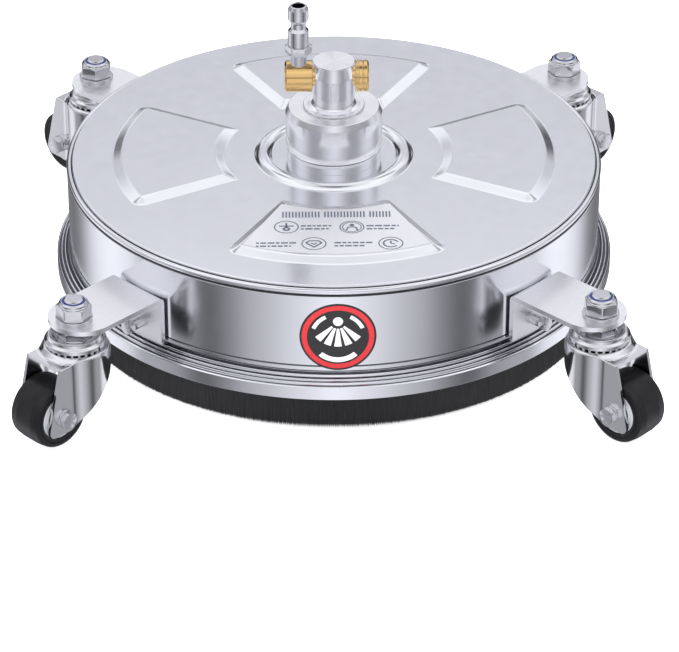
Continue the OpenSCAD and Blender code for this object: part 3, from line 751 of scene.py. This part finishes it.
def hub_pieces():
    """Base ring, bearing housing and inlet post, turned with their fillets and chamfers."""
    base_r = base_high[0]
    base_z = base_high[2]
    ring = Shape().turned(rounded([
        (20.9, base_low[2], 0.3), (20.9, DECK_Z), (base_r, DECK_Z, 0.2), (base_r, base_z, 0.7),
        (15, base_z, 0.3), (15, base_low[2], 0.3),
    ], 4, closed=True), 192)
    ring.build("base_ring", [TURNED], "root", "stainless_polished", ["hub_base"])

    cup_r, cup_top = cup_high[0], cup_high[2]
    bore_top = cup_top - 5.7
    cup = Shape().turned(rounded([
        (20.1, base_z, 0.3), (cup_r - 2.6, base_z, 0.4), (cup_r - 0.9, base_z + 0.9, 1.2),
        (cup_r, base_z + 3.2, 2.0), (cup_r, cup_top - 3.9, 0.5), (cup_r - 1.9, cup_top, 0.6),
        (11.05, cup_top, 0.2), (11.05, bore_top, 0.2), (20.1, bore_top - 1.2, 0.2),
    ], 5, closed=True), 256, face_finish=1)
    cup.build("bearing_cup", [TURNED, FACED], "root", "stainless_polished", ["bearing_housing"])

    collar_r, top = post_high[0], post_high[2]
    post_r = 13.2
    neck_r = post_r - 2.2
    post = Shape().turned(rounded([
        (3.5, post_low[2], 0.3), (11, post_low[2], 0.3), (11, cup_top), (collar_r, cup_top),
        (collar_r, cup_top + 1.5, 0.5), (collar_r - 2.6, cup_top + 1.5, 0.4),
        (post_r + 0.9, cup_top + 2.0, 0.6), (post_r, cup_top + 3.2, 0.6),
        (post_r, top - 9.5, 0.4), (neck_r, top - 1.9, 0.3), (neck_r - 0.2, top - 1.3, 0.2),
        (post_r, top - 1.2, 0.2), (post_r, top, 0.3), (0, top), (0, top - 5), (3.5, top - 6),
    ], 5), 192, closed=False, face_finish=1)
    post.build("post_turned", [TURNED, FACED], "root", "stainless_polished", ["inlet_post"])


def brass_pivot():
    """Brass cross tube on its journal, turned end cap and snap ring, which swing with the plug.

    They show in no reflection, which keeps the polished post's outline clear.
    """
    axis_z = (tube_low[2] + tube_high[2]) / 2
    place = along((0, 0, axis_z), (1, 0, 0))
    radius = tube_high[1]
    journal_r = 6.5
    left, right, end = tube_low[0], tube_high[0], cap_high[0]
    shoulder = cap_low[0]
    clip_x = 15.0
    tube = Shape().turned(rounded([
        (0, left), (radius - 1.2, left, 0.4), (radius, left + 1.2, 0.5),
        (radius, -shoulder - 0.3, 0.2), (radius - 0.3, -shoulder, 0.2), (journal_r, -shoulder),
        (journal_r, right), (0, right),
    ], 4), 96, closed=False, place=place)
    brass_tube = tube.build("brass_tube", [BRASS], "inlet", "brass", ["pivot_tube"])
    cap = Shape().turned(rounded([
        (journal_r + 0.05, shoulder), (radius - 0.3, shoulder, 0.2), (radius, shoulder + 0.3, 0.2),
        (radius, clip_x - 0.9, 0.15), (radius - 0.9, clip_x - 0.8, 0.1),
        (radius - 0.9, clip_x + 0.8, 0.1), (radius, clip_x + 0.9, 0.15),
        (radius, right - 0.1, 0.2), (radius - 0.6, right, 0.1), (radius - 0.6, right + 0.7, 0.1),
        (radius, right + 0.9, 0.3), (radius, end - 1.0, 0.5), (radius - 1.0, end, 0.5),
        (radius - 4.5, end, 0.3), (radius - 5.0, end - 0.5, 0.3), (0, end - 0.5),
    ], 4), 96, closed=False, place=place)
    brass_cap = cap.build("brass_cap", [BRASS], "inlet", "brass", ["pivot_end_cap"])
    clip = Shape().turned(rounded([
        (radius - 0.8, clip_x - 0.4, 0.15), (radius + 0.3, clip_x - 0.4, 0.15),
        (radius + 0.3, clip_x + 0.4, 0.15), (radius - 0.8, clip_x + 0.4, 0.15),
    ], 3, closed=True), 96, place=place)
    brass_clip = clip.build("brass_clip", [BRASS], "inlet", "brass", ["pivot_clip"])
    for piece in (brass_tube, brass_cap, brass_clip):
        piece.visible_glossy = False


def quick_plug():
    """Quick-connect plug: neck, wrench hexagon, body, locking groove and nose, with its bore."""
    axis_z = (tube_low[2] + tube_high[2]) / 2
    x = (plug_low[0] + plug_high[0]) / 2
    place = Matrix.Translation((x, 0, axis_z))
    nose_r = 6.5
    bore_r = 3.9
    top = plug_high[2] - axis_z
    body = rounded([
        (3.0, 3), (4.3, 4.5, 0.2), (4.3, 7.5), (5.1, 7.5), (5.1, 17.2), (nose_r - 0.5, 17.2),
        (nose_r, 22.0, 0.1), (nose_r, 32.4, 0.5), (4.7, 34.3, 0.4), (4.7, 37.4, 0.3),
        (5.5, 38.4, 0.3), (nose_r, 40.2, 0.4), (nose_r, top - 2.4, 0.6), (5.2, top - 0.1, 0.3),
        (4.4, top, 0.15), (bore_r, top - 0.3, 0.2), (bore_r, 19), (3.0, 17),
    ], 4, closed=True)
    shape = Shape().turned(body, 96, place=place)
    shape.hexagon(15, 16.8, 22.2, 0.8, bore=bore_r + 0.2, turn_deg=30, place=place)
    shape.build("quick_plug", [ZINC], "inlet", "zinc_steel", ["inlet_plug"])


# ---- brackets and their bolts ----

BRACKET_T = 3.0
LEG_GAP = 0.4
BOLT_HEIGHTS = (50.0, 63.0)

def bracket_plate(where, turn_deg):
    """L-shaped bracket: a bent plate with a round outer end, its leg against the skirt."""
    leg_r = SKIRT_R + LEG_GAP
    thick = BRACKET_T
    half = 21.25
    round_r = 217.0
    low, high = plate_low[2], BRACKET_Z
    bend_out = 3.4
    bend_in = 0.6
    outer = [(leg_r, low)] + arc((leg_r + bend_out, high - bend_out), bend_out, 180, 90, 8)
    inner = [(leg_r + thick, low)] + arc(
        (leg_r + thick + bend_in, high - thick - bend_in), bend_in, 180, 90, 8
    )
    widths = [half] * len(outer)
    for share in np.linspace(0, 1, 5)[1:]:
        u = leg_r + 6 + (round_r - leg_r - 6) * share
        outer.append((u, high))
        inner.append((u, high - thick))
        widths.append(half)
    for a in np.radians(np.concatenate([np.arange(4, 88, 4), [88, 89.4]])):
        u = round_r + half * math.sin(a)
        outer.append((u, high))
        inner.append((u, high - thick))
        widths.append(half * math.cos(a))
    section = []
    for (ou, oz), (iu, iz), width in zip(outer, inner, widths):
        section.append([(ou, -width, oz), (ou, width, oz), (iu, width, iz), (iu, -width, iz)])
    place = upright(0, 0, turn_deg)
    points = placed(np.array(section), place)
    shape = Shape()
    shape.grid(points, False, True)
    shape.grid(points[0][[0, 1, 3, 2]].reshape(2, 2, 3))
    shape.grid(points[-1][[0, 1, 3, 2]].reshape(2, 2, 3))
    shape.build(
        f"bracket_plate_{where}", [SATIN], "root", "stainless_satin", [f"bracket_{where}"], bevel=0.45
    )


def bracket_screws(turns):
    """Hexagon bolts that hold the brackets' legs to the skirt, with their inner nuts."""
    face = SKIRT_R + LEG_GAP + BRACKET_T
    shape = Shape()
    nuts = Shape()
    for turn in turns:
        outward = (math.cos(math.radians(turn)), math.sin(math.radians(turn)), 0)
        for z in BOLT_HEIGHTS:
            place = along((0, 0, z), outward)
            shank = rounded([
                (0, face - 12), (2.5, face - 12, 0.3), (2.5, face), (3.6, face, 0.1),
                (3.6, face + 5.5), (0, face + 5.5),
            ], 3)
            shape.turned(shank, 32, closed=False, place=place)
            shape.hexagon(8, face + 5.4, face + 9.9, 0.5, place=place)
            nuts.hexagon(8, face - 10.3, face - 5.3, 0.5, bore=2.5, place=place)
    shape.build("bracket_screw_set", [ZINC], "root", "zinc_steel", ["bracket_bolts"])
    nuts.build("bracket_nut_set", [ZINC], "root", "zinc_steel", ["bracket_nuts"])


# ---- casters ----

def stem_hardware(casters):
    """Stems with their hexagonal shoulders, washers, lock nuts, nylon rings and race caps."""
    stem, washers, nuts, rings, caps, balls = (Shape() for _ in range(6))
    nut_z, nut_top = nut_low[2], nut_high[2]
    dish = race_high[2] - 3.3
    shoulder_top = BRACKET_Z - BRACKET_T - 0.05
    for x, y, turn_deg, nut_turn in casters.values():
        place = upright(x, y, turn_deg)
        stem.turned(rounded([
            (0, CROWN_Z - 5), (8.6, CROWN_Z - 5, 0.8), (8.9, CROWN_Z - 2.8, 0.4), (6, CROWN_Z - 2.7),
            (6, nut_top - 0.4), (5.9, nut_top + 0.5, 0.4), (5.0, nut_top + 1.0, 0.3), (0, nut_top + 1.0),
        ], 4), 64, closed=False, place=place)
        stem.hexagon(18, dish, shoulder_top, 0.8, bore=5.9, turn_deg=nut_turn - turn_deg, place=place)
        washers.turned(rounded([
            (6.2, washer_low[2], 0.2), (11.2, washer_low[2], 0.3), (11.2, washer_high[2], 0.5),
            (6.2, washer_high[2], 0.2),
        ], 3, closed=True), 96, place=place)
        hex_top = nut_top - 2.9
        nuts.hexagon(19, nut_z, hex_top, 0.9, bore=6.1, turn_deg=nut_turn - turn_deg, place=place)
        nuts.turned(rounded([
            (7.05, nut_top - 3.4), (9.3, hex_top - 0.3, 0.2), (9.3, hex_top + 0.5, 0.25),
            (8.8, hex_top + 0.9, 0.2), (8.8, nut_top - 1.0, 0.7), (7.6, nut_top, 0.35),
            (7.05, nut_top - 0.3, 0.2),
        ], 4, closed=True), 96, place=place)
        rings.turned(rounded([
            (6.05, nut_top - 3.3), (7.0, nut_top - 3.3), (7.0, nut_top - 0.35, 0.2),
            (6.05, nut_top - 0.25, 0.3),
        ], 3, closed=True), 64, place=place)
        low, high = CROWN_Z + RACE_RISE + 1.0, race_high[2]
        caps.turned(rounded([
            (6.15, dish, 0.2), (11.6, dish, 1.0), (14.4, high - 0.2, 0.6), (15.3, high, 0.3),
            (16.2, high, 0.4), (16.6, high - 0.9, 0.6), (17.0, high - 2.4, 1.2),
            (18.9, high - 3.8, 1.4), (18.9, low + 0.6, 0.4), (18.4, low, 0.2), (17.6, low, 0.2),
            (17.0, high - 4.4, 0.8), (14.6, high - 4.6, 0.8), (12.4, dish - 1.8, 0.4),
            (6.15, dish - 1.8, 0.2),
        ], 7, closed=True), 160, place=place)
        for k in range(BALL_COUNT):
            turn = 2 * math.pi * k / BALL_COUNT
            spot = place @ Vector((BALL_RING_R * math.cos(turn), BALL_RING_R * math.sin(turn), low - 0.3))
            ball = [(max(r, 0), z) for r, z in arc((0, 0), BALL_R, 90, -90, 8)]
            balls.turned(ball, 12, closed=False, place=Matrix.Translation(spot))
    stem.build("stem_set", [ZINC], "root", "zinc_steel", ["caster_stems"])
    washers.build("washer_set", [ZINC], "root", "zinc_steel", ["stem_washers"])
    nuts.build("lock_nut_set", [ZINC], "root", "zinc_steel", ["stem_nuts"])
    rings.build("nylon_ring_set", [PLASTIC_BLUE], "root", "blue_nylon", ["nylon_inserts"])
    caps.build("race_cap_set", [CHROME], "root", "zinc_steel", ["race_caps"])
    balls.build("race_ball_set", [GROUND], "root", "zinc_steel", ["race_balls"])


CHEEK_R = 6.5
FORK_BACK_R = 21.0
FORK_NOSE = 26.0
FORK_BEND_U = 18.0
FORK_T = 2.0
TRAIL = 23.5
WHEEL_R = 21.0
WHEEL_W = 24.0
CHEEK_U = TRAIL - 3
CHEEK_Z = WHEEL_R - 4


def fork_low_z(u):
    """Height of the fork's lower edge behind the cheeks' round ends."""
    round_start = CHEEK_U - CHEEK_R * math.cos(math.radians(50))
    if u > round_start:
        return CHEEK_Z - math.sqrt(max(CHEEK_R ** 2 - (u - CHEEK_U) ** 2, 0))
    start_z = CHEEK_Z - CHEEK_R * math.sin(math.radians(50))
    back_z = CROWN_Z - 5
    return start_z + (round_start - u) * (back_z - start_z) / (round_start + FORK_BACK_R + 1)


def fork_columns():
    """Plan of half a fork's wall, from the nose to the middle of its back.

    Each column gives its top point, its outward normal and its lower end, as (u, v) and height.
    """
    half = FORK_W / 2
    lower = [(FORK_BEND_U, fork_low_z(FORK_BEND_U))]
    lower += [p for p in arc((CHEEK_U, CHEEK_Z), CHEEK_R, 252, 270, 3)]
    lower += [p for p in arc((TRAIL + 8, WHEEL_R - 6), 4.5, -90, 15, 7)]
    lower = np.array(lower)
    run = np.concatenate([[0], np.cumsum(np.linalg.norm(np.diff(lower, axis=0), axis=1))])
    columns = []
    for share in np.linspace(1, 0, 19):
        at = share * run[-1]
        low_u = np.interp(at, run, lower[:, 0])
        low_z = np.interp(at, run, lower[:, 1])
        top_u = FORK_BEND_U + (FORK_NOSE - FORK_BEND_U) * share
        columns.append(((top_u, half), (0.0, 1.0), (low_u, half), low_z))
    turn = math.radians(55)
    start, end = np.array([FORK_BEND_U, half]), FORK_BACK_R * np.array([math.cos(turn), math.sin(turn)])
    pull = 6.0
    start_way = np.array([-1.0, 0.0]) * pull
    end_way = np.array([-math.sin(turn), math.cos(turn)]) * pull
    for t in np.linspace(0, 1, 9)[1:]:
        point = ((2 * t ** 3 - 3 * t ** 2 + 1) * start + (t ** 3 - 2 * t ** 2 + t) * start_way
                 + (3 * t ** 2 - 2 * t ** 3) * end + (t ** 3 - t ** 2) * end_way)
        way = ((6 * t ** 2 - 6 * t) * start + (3 * t ** 2 - 4 * t + 1) * start_way
               + (6 * t - 6 * t ** 2) * end + (3 * t ** 2 - 2 * t) * end_way)
        way /= np.linalg.norm(way)
        columns.append((tuple(point), (way[1], -way[0]), tuple(point), fork_low_z(point[0])))
    for a in np.radians(np.linspace(55, 180, 27)[1:]):
        point = (FORK_BACK_R * math.cos(a), FORK_BACK_R * math.sin(a))
        columns.append((point, (math.cos(a), math.sin(a)), point, fork_low_z(point[0])))
    return columns


def crown_height(u, v):
    """Top of the fork: a raised race round the stem, which runs out into a flat nose."""
    return CROWN_Z - 0.1 + RACE_RISE * (1 - smooth_step(np.hypot(u, v), 18.4, 22.6))


def edge_radius(u):
    """Bend radius between the crown and the wall: tight at the cheeks, wider round the back."""
    return 0.7 + 2.3 * float(smooth_step(-u, -19.0, 4.0))


def fork_shell(where, place):
    """Pressed fork: crown, round back and two cheeks in one bent sheet."""
    hole_r = 6.1
    half = fork_columns()
    other = [((t[0], -t[1]), (n[0], -n[1]), (l[0], -l[1]), z) for t, n, l, z in half[:-1]]
    columns = half + other[::-1]
    crown, wall = [], []
    for top, normal, low, low_z in columns:
        edge_r = edge_radius(top[0])
        shoulder = np.array(top) - edge_r * np.array(normal)
        hole = shoulder / np.linalg.norm(shoulder) * hole_r
        share = np.linspace(0, 1, 25)[:, None]
        flat = hole + (shoulder - hole) * share
        crown.append([(u, v, crown_height(u, v)) for u, v in flat])
        high = crown_height(*shoulder)
        line = []
        for a in np.radians(np.linspace(0, 90, 7)):
            out = shoulder + edge_r * math.sin(a) * np.array(normal)
            line.append((out[0], out[1], high - edge_r * (1 - math.cos(a))))
        for t in np.linspace(0, 1, 15)[1:]:
            u = top[0] + (low[0] - top[0]) * t
            v = top[1] + (low[1] - top[1]) * t
            line.append((u, v, high - edge_r + (low_z - high + edge_r) * t))
        wall.append(line)
    nose = []
    inner_half = FORK_W / 2 - edge_radius(FORK_NOSE)
    for v in np.linspace(-inner_half, inner_half, 11):
        end = np.array([FORK_NOSE, v])
        hole = end / np.linalg.norm(end) * hole_r
        flat = hole + (end - hole) * np.linspace(0, 1, 25)[:, None]
        nose.append([(a, b, crown_height(a, b)) for a, b in flat])
    shape = Shape()
    shape.grid(placed(np.array(crown), place))
    shape.grid(placed(np.array(nose), place))
    shape.grid(placed(np.array(wall), place))
    shape.build(
        f"fork_shell_{where}", [CHROME], f"caster_{where}", "chrome_plate", [f"fork_{where}"],
        bevel=0.35, shell=FORK_T,
    )


def axle_hardware(where, place):
    """Axle bolt with a washer face on its head side, and its nut."""
    half = FORK_W / 2
    bolt = Shape().turned(rounded([
        (0, -half - 6.4), (2.6, -half - 6.4, 0.3), (3, -half - 5.9), (3, half), (5.8, half, 0.2),
        (5.8, half + 0.9, 0.3), (0, half + 0.9),
    ], 3), 48, closed=False, place=place)
    bolt.hexagon(10, half + 0.8, half + 4.6, 0.7, turn_deg=15, place=place)
    bolt.build(f"axle_pin_{where}", [ZINC], f"caster_{where}", "zinc_steel", [f"axle_bolt_{where}"])
    nut = Shape().hexagon(10, -half - 5, -half, 0.7, bore=3.05, turn_deg=8, place=place)
    nut.build(f"axle_lock_{where}", [ZINC], f"caster_{where}", "zinc_steel", [f"axle_nut_{where}"])


def wheel(where, place):
    """Tyre with a crowned tread and stepped shoulders, on a two-faced plastic hub."""
    half = WHEEL_W / 2
    r = WHEEL_R
    side = [
        (14.45, half - 1.2, 0.2), (14.9, half - 0.2, 0.3), (16.4, half - 0.1, 0.3),
        (16.7, half - 0.8, 0.2), (17.3, half - 0.8, 0.2), (17.8, half - 0.1, 0.4),
        (r - 0.7, half - 0.3, 1.6),
    ]
    crown = [(r, 6.0, 4.0), (r, -6.0, 4.0)]
    tread = side + crown + [(a, -b, c) for a, b, c in side[::-1]]
    Shape().turned(rounded(tread, 5, closed=True), 128, place=place).build(
        f"tyre_tread_{where}", [TYRE], f"wheel_{where}", "tyre_rubber", [f"tyre_{where}"]
    )
    face = [
        (3.1, half + 0.5, 0.2), (5.2, half + 0.5, 0.3), (5.6, half - 4.5, 0.3), (9.8, half - 4.5, 0.3),
        (10.2, half - 0.6, 0.3), (10.9, half - 0.2, 0.2), (11.3, half - 0.8, 0.2), (14.3, half - 0.6, 0.3),
    ]
    profile = face + [(a, -b, c) for a, b, c in face[::-1]]
    Shape().turned(rounded(profile, 4, closed=True), 96, place=place).build(
        f"wheel_disc_{where}", [PLASTIC_GREY], f"wheel_{where}", "grey_plastic", [f"wheel_hub_{where}"]
    )


def caster_places():
    """Stem position, outward angle and nut angle of each caster, from the swivel joints."""
    nut_turns = {"front_left": 30.0, "front_right": 0.0, "rear_left": 2.0, "rear_right": 24.0}
    places = {}
    for joint in frame["joints"]:
        if joint["name"].startswith("swivel_"):
            where = joint["name"][len("swivel_"):]
            x, y = joint["pos_m"][0] / MM, joint["pos_m"][1] / MM
            places[where] = (x, y, math.degrees(math.atan2(y, x)), nut_turns[where])
    return places


def caster_pieces():
    casters = caster_places()
    stem_hardware(casters)
    bracket_screws([caster[2] for caster in casters.values()])
    for where, (x, y, turn, _) in casters.items():
        bracket_plate(where, turn)
        place = upright(x, y, turn)
        fork_shell(where, place)
        low, high = box_mm(f"axle_bolt_{where}")
        wheel_low, wheel_high = box_mm(f"tyre_{where}")
        head = (low + high) / 2 - (wheel_low + wheel_high) / 2
        across = place.to_3x3() @ Vector((0, 1, 0))
        side = 1 if across.dot(Vector(head)) > 0 else -1
        axle = place @ Vector((TRAIL, 0, WHEEL_R))
        at_axle = along(axle, across * side)
        axle_hardware(where, at_axle)
        wheel(where, at_axle)


# ---- CAD nodes that stay, with their finishes ----

def finish_nodes():
    kept = {
        TURNED: ["spindle", "rotor_head", "spindle_nut", "spray_arm_left", "spray_arm_right",
                 "nozzle_left", "nozzle_right"],
        SATIN: ["backing_plate"],
        ZINC: ["hub_screws"],
        GROUND: ["bearing_outer_rings", "bearing_inner_rings", "bearing_balls"],
        SPRING: ["housing_clip"],
        PLASTIC_BLACK: ["brush_holder"],
        SEAL: ["shaft_seal", "pivot_o_rings"],
        PTFE: ["water_seal"],
    }
    for finish, names in kept.items():
        for name in names:
            mesh = frame["nodes"][name].data
            mesh.materials.clear()
            mesh.materials.append(finish)


# ---- camera, floor and light ----

def look_from_front():
    """Long lens from the front and above, aimed so that the cleaner sits high in the frame."""
    target = Vector((0, 0, 0.0626))
    azimuth, elevation = math.radians(-0.82), math.radians(29.24)
    distance = 2.296
    back = Vector((
        math.sin(azimuth) * math.cos(elevation), -math.cos(azimuth) * math.cos(elevation),
        math.sin(elevation),
    ))
    right = Vector((math.cos(azimuth), math.sin(azimuth), 0))
    up = back.cross(right)
    aim = target + right * 0.00356 - up * 0.0773
    data = bpy.data.cameras.new("camera")
    data.sensor_width = 36
    data.lens = 189.7
    data.clip_end = 50
    camera = bpy.data.objects.new("camera", data)
    camera.location = target + back * distance
    camera.rotation_mode = "QUATERNION"
    camera.rotation_quaternion = (aim - camera.location).to_track_quat("-Z", "Y")
    bpy.context.scene.collection.objects.link(camera)
    bpy.context.scene.camera = camera


def floor():
    mesh = bpy.data.meshes.new("studio_floor")
    half = 6.0
    corners = [(-half, -half, 0), (half, -half, 0), (half, half, 0), (-half, half, 0)]
    mesh.from_pydata(corners, [], [(0, 1, 2, 3)])
    finish = Finish(
        "studio_paper", (0.92, 0.92, 0.92), 0.9, Emission_Color=(1, 1, 1, 1), Emission_Strength=0.8
    )
    finish.vary_color(finish.noise(400, 2), 0.004)
    mesh.materials.append(finish.material)
    piece = bpy.data.objects.new("studio_floor", mesh)
    piece.visible_glossy = False
    bpy.context.scene.collection.objects.link(piece)


def linear(level):
    """Linear light of an 8-bit screen grey."""
    share = level / 255
    return share / 12.92 if share <= 0.04045 else ((share + 0.055) / 1.055) ** 2.4


class Surround:
    """World shader: soft boxes and dark flags round the cleaner, as bands by direction."""

    def __init__(self):
        world = bpy.data.worlds.new("studio")
        world.use_nodes = True
        bpy.context.scene.world = world
        self.nodes, self.links = world.node_tree.nodes, world.node_tree.links
        self.output = self.nodes["Background"]
        place = self.nodes.new("ShaderNodeTexCoord").outputs["Generated"]
        split = self.nodes.new("ShaderNodeSeparateXYZ")
        self.links.new(place, split.inputs["Vector"])
        self.x, self.y, self.z = split.outputs

    def math(self, operation, a, b=None, clamp=False):
        node = self.nodes.new("ShaderNodeMath")
        node.operation = operation
        node.use_clamp = clamp
        for socket, value in zip(node.inputs, (a, b)):
            if isinstance(value, (int, float)):
                socket.default_value = value
            elif value is not None:
                self.links.new(value, socket)
        return node.outputs[0]

    def band(self, source, stops):
        """Colour that follows (position, screen grey) stops; bright greys are slightly blue."""
        node = self.nodes.new("ShaderNodeValToRGB")
        ramp = node.color_ramp
        ramp.interpolation = "CARDINAL"
        while len(ramp.elements) < len(stops):
            ramp.elements.new(0.5)
        for element, (position, level) in zip(ramp.elements, stops):
            element.position = position
        for element, (position, level) in zip(ramp.elements, stops):
            element.color = (linear(level), linear(level * 1.003), linear(level * 1.035), 1)
        self.links.new(source, node.inputs["Fac"])
        return node.outputs["Color"]

    def step(self, source, low, high):
        remap = self.nodes.new("ShaderNodeMapRange")
        remap.interpolation_type = "SMOOTHSTEP"
        remap.inputs["From Min"].default_value = low
        remap.inputs["From Max"].default_value = high
        self.links.new(source, remap.inputs["Value"])
        return remap.outputs["Result"]

    def strip(self, source, low, high, soft):
        """1 between low and high, fading to 0 over soft at both ends."""
        rise = self.step(source, low - soft, low)
        fall = self.step(source, high, high + soft)
        return self.math("SUBTRACT", rise, fall, True)

    def patch(self, share, under, level):
        """Lays a grey over a colour, as far as share says."""
        node = self.nodes.new("ShaderNodeMix")
        node.data_type = "RGBA"
        first, second = [s for s in node.inputs if s.type == "RGBA"]
        self.links.new(share, node.inputs["Factor"])
        self.links.new(under, first)
        if isinstance(level, (int, float)):
            second.default_value = (linear(level), linear(level * 1.003), linear(level * 1.02), 1)
        else:
            self.links.new(level, second)
        return [s for s in node.outputs if s.type == "RGBA"][0]


def studio():
    """Bands by azimuth; above the horizon they give way to a rear that follows height and a ceiling.

    Band stops are (degrees from the front, screen grey). Flags darken the rear for the ring bead and
    for the panels' rear slopes.
    """
    sky = Surround()
    azimuth = sky.math("ARCTAN2", sky.x, sky.math("MULTIPLY", sky.y, -1))
    share = sky.math("DIVIDE", sky.math("ABSOLUTE", azimuth), math.pi)
    front = sky.math("SUBTRACT", 1, sky.step(share, 0.68, 0.78), True)
    low_stops = [(0, 240), (8, 226), (24, 198), (40, 160), (50, 116), (58, 98), (66, 138), (78, 160),
                 (88, 166), (95, 214), (106, 238), (114, 240), (124, 226), (132, 198), (140, 150),
                 (152, 110), (160, 116), (168, 112), (180, 100)]
    low = sky.band(share, [(a / 180, level) for a, level in low_stops])
    high_stops = [(0, 234), (14, 214), (28, 184), (40, 164), (52, 164), (64, 186), (76, 216), (98, 222),
                  (112, 186), (126, 180), (138, 220), (146, 240), (180, 238)]
    high = sky.band(share, [(a / 180, level) for a, level in high_stops])
    rear_stops = [(0, 236), (0.34, 232), (0.43, 190), (0.47, 193), (0.52, 222), (0.60, 250)]
    rear = sky.band(sky.z, rear_stops)
    bead_flag = sky.math("MULTIPLY", sky.strip(sky.z, -0.1, 0.32, 0.05), sky.strip(share, 0.74, 0.89, 0.03))
    slope_flag = sky.math("MULTIPLY", sky.strip(sky.z, -0.2, 0.14, 0.05), sky.step(share, 0.90, 0.95))
    upper = sky.patch(sky.math("MULTIPLY", sky.strip(sky.z, 0.19, 0.28, 0.06), front), high, 150)
    upper = sky.patch(sky.step(share, 0.78, 0.86), upper, rear)
    upper = sky.patch(bead_flag, upper, 45)
    upper = sky.patch(slope_flag, upper, 70)
    upper = sky.patch(sky.step(sky.z, 0.58, 0.74), upper, 250)
    upper = sky.patch(sky.step(sky.z, 0.86, 0.93), upper, 228)
    side_gap = sky.math("MULTIPLY", sky.strip(sky.z, 0.72, 0.80, 0.05), sky.strip(share, 0.78, 0.88, 0.05))
    upper = sky.patch(side_gap, upper, 150)
    upper = sky.patch(sky.step(sky.z, 0.965, 0.992), upper, 110)
    whole = sky.patch(sky.step(sky.z, -0.10, 0.08), low, upper)
    sky.links.new(whole, sky.output.inputs["Color"])
    sky.output.inputs["Strength"].default_value = 1.16


def lamp(name, location, size, power, tint=(1, 1, 1)):
    """Soft area lamp aimed at the cleaner. It shows in no reflection."""
    data = bpy.data.lights.new(name, "AREA")
    data.size = size
    data.energy = power
    data.color = tint
    light = bpy.data.objects.new(name, data)
    light.location = location
    light.rotation_mode = "QUATERNION"
    light.rotation_quaternion = (Vector((0, 0, 0.05)) - Vector(location)).to_track_quat("-Z", "Y")
    light.visible_glossy = False
    bpy.context.scene.collection.objects.link(light)


def lights():
    studio()
    lamp("key_lamp", (-1.2, -1.6, 2.6), 1.8, 42)
    lamp("fill_lamp", (1.8, -0.6, 2.2), 1.8, 26)
    lamp("top_lamp", (0, 0.9, 3.0), 2.4, 40)
    bpy.context.scene.view_settings.view_transform = "Standard"


look_from_front()
floor()
lights()
deck_shell()
flange_ring()
bristle_skirt()
badge_disc()
panel_print()
hub_pieces()
brass_pivot()
quick_plug()
caster_pieces()
finish_nodes()
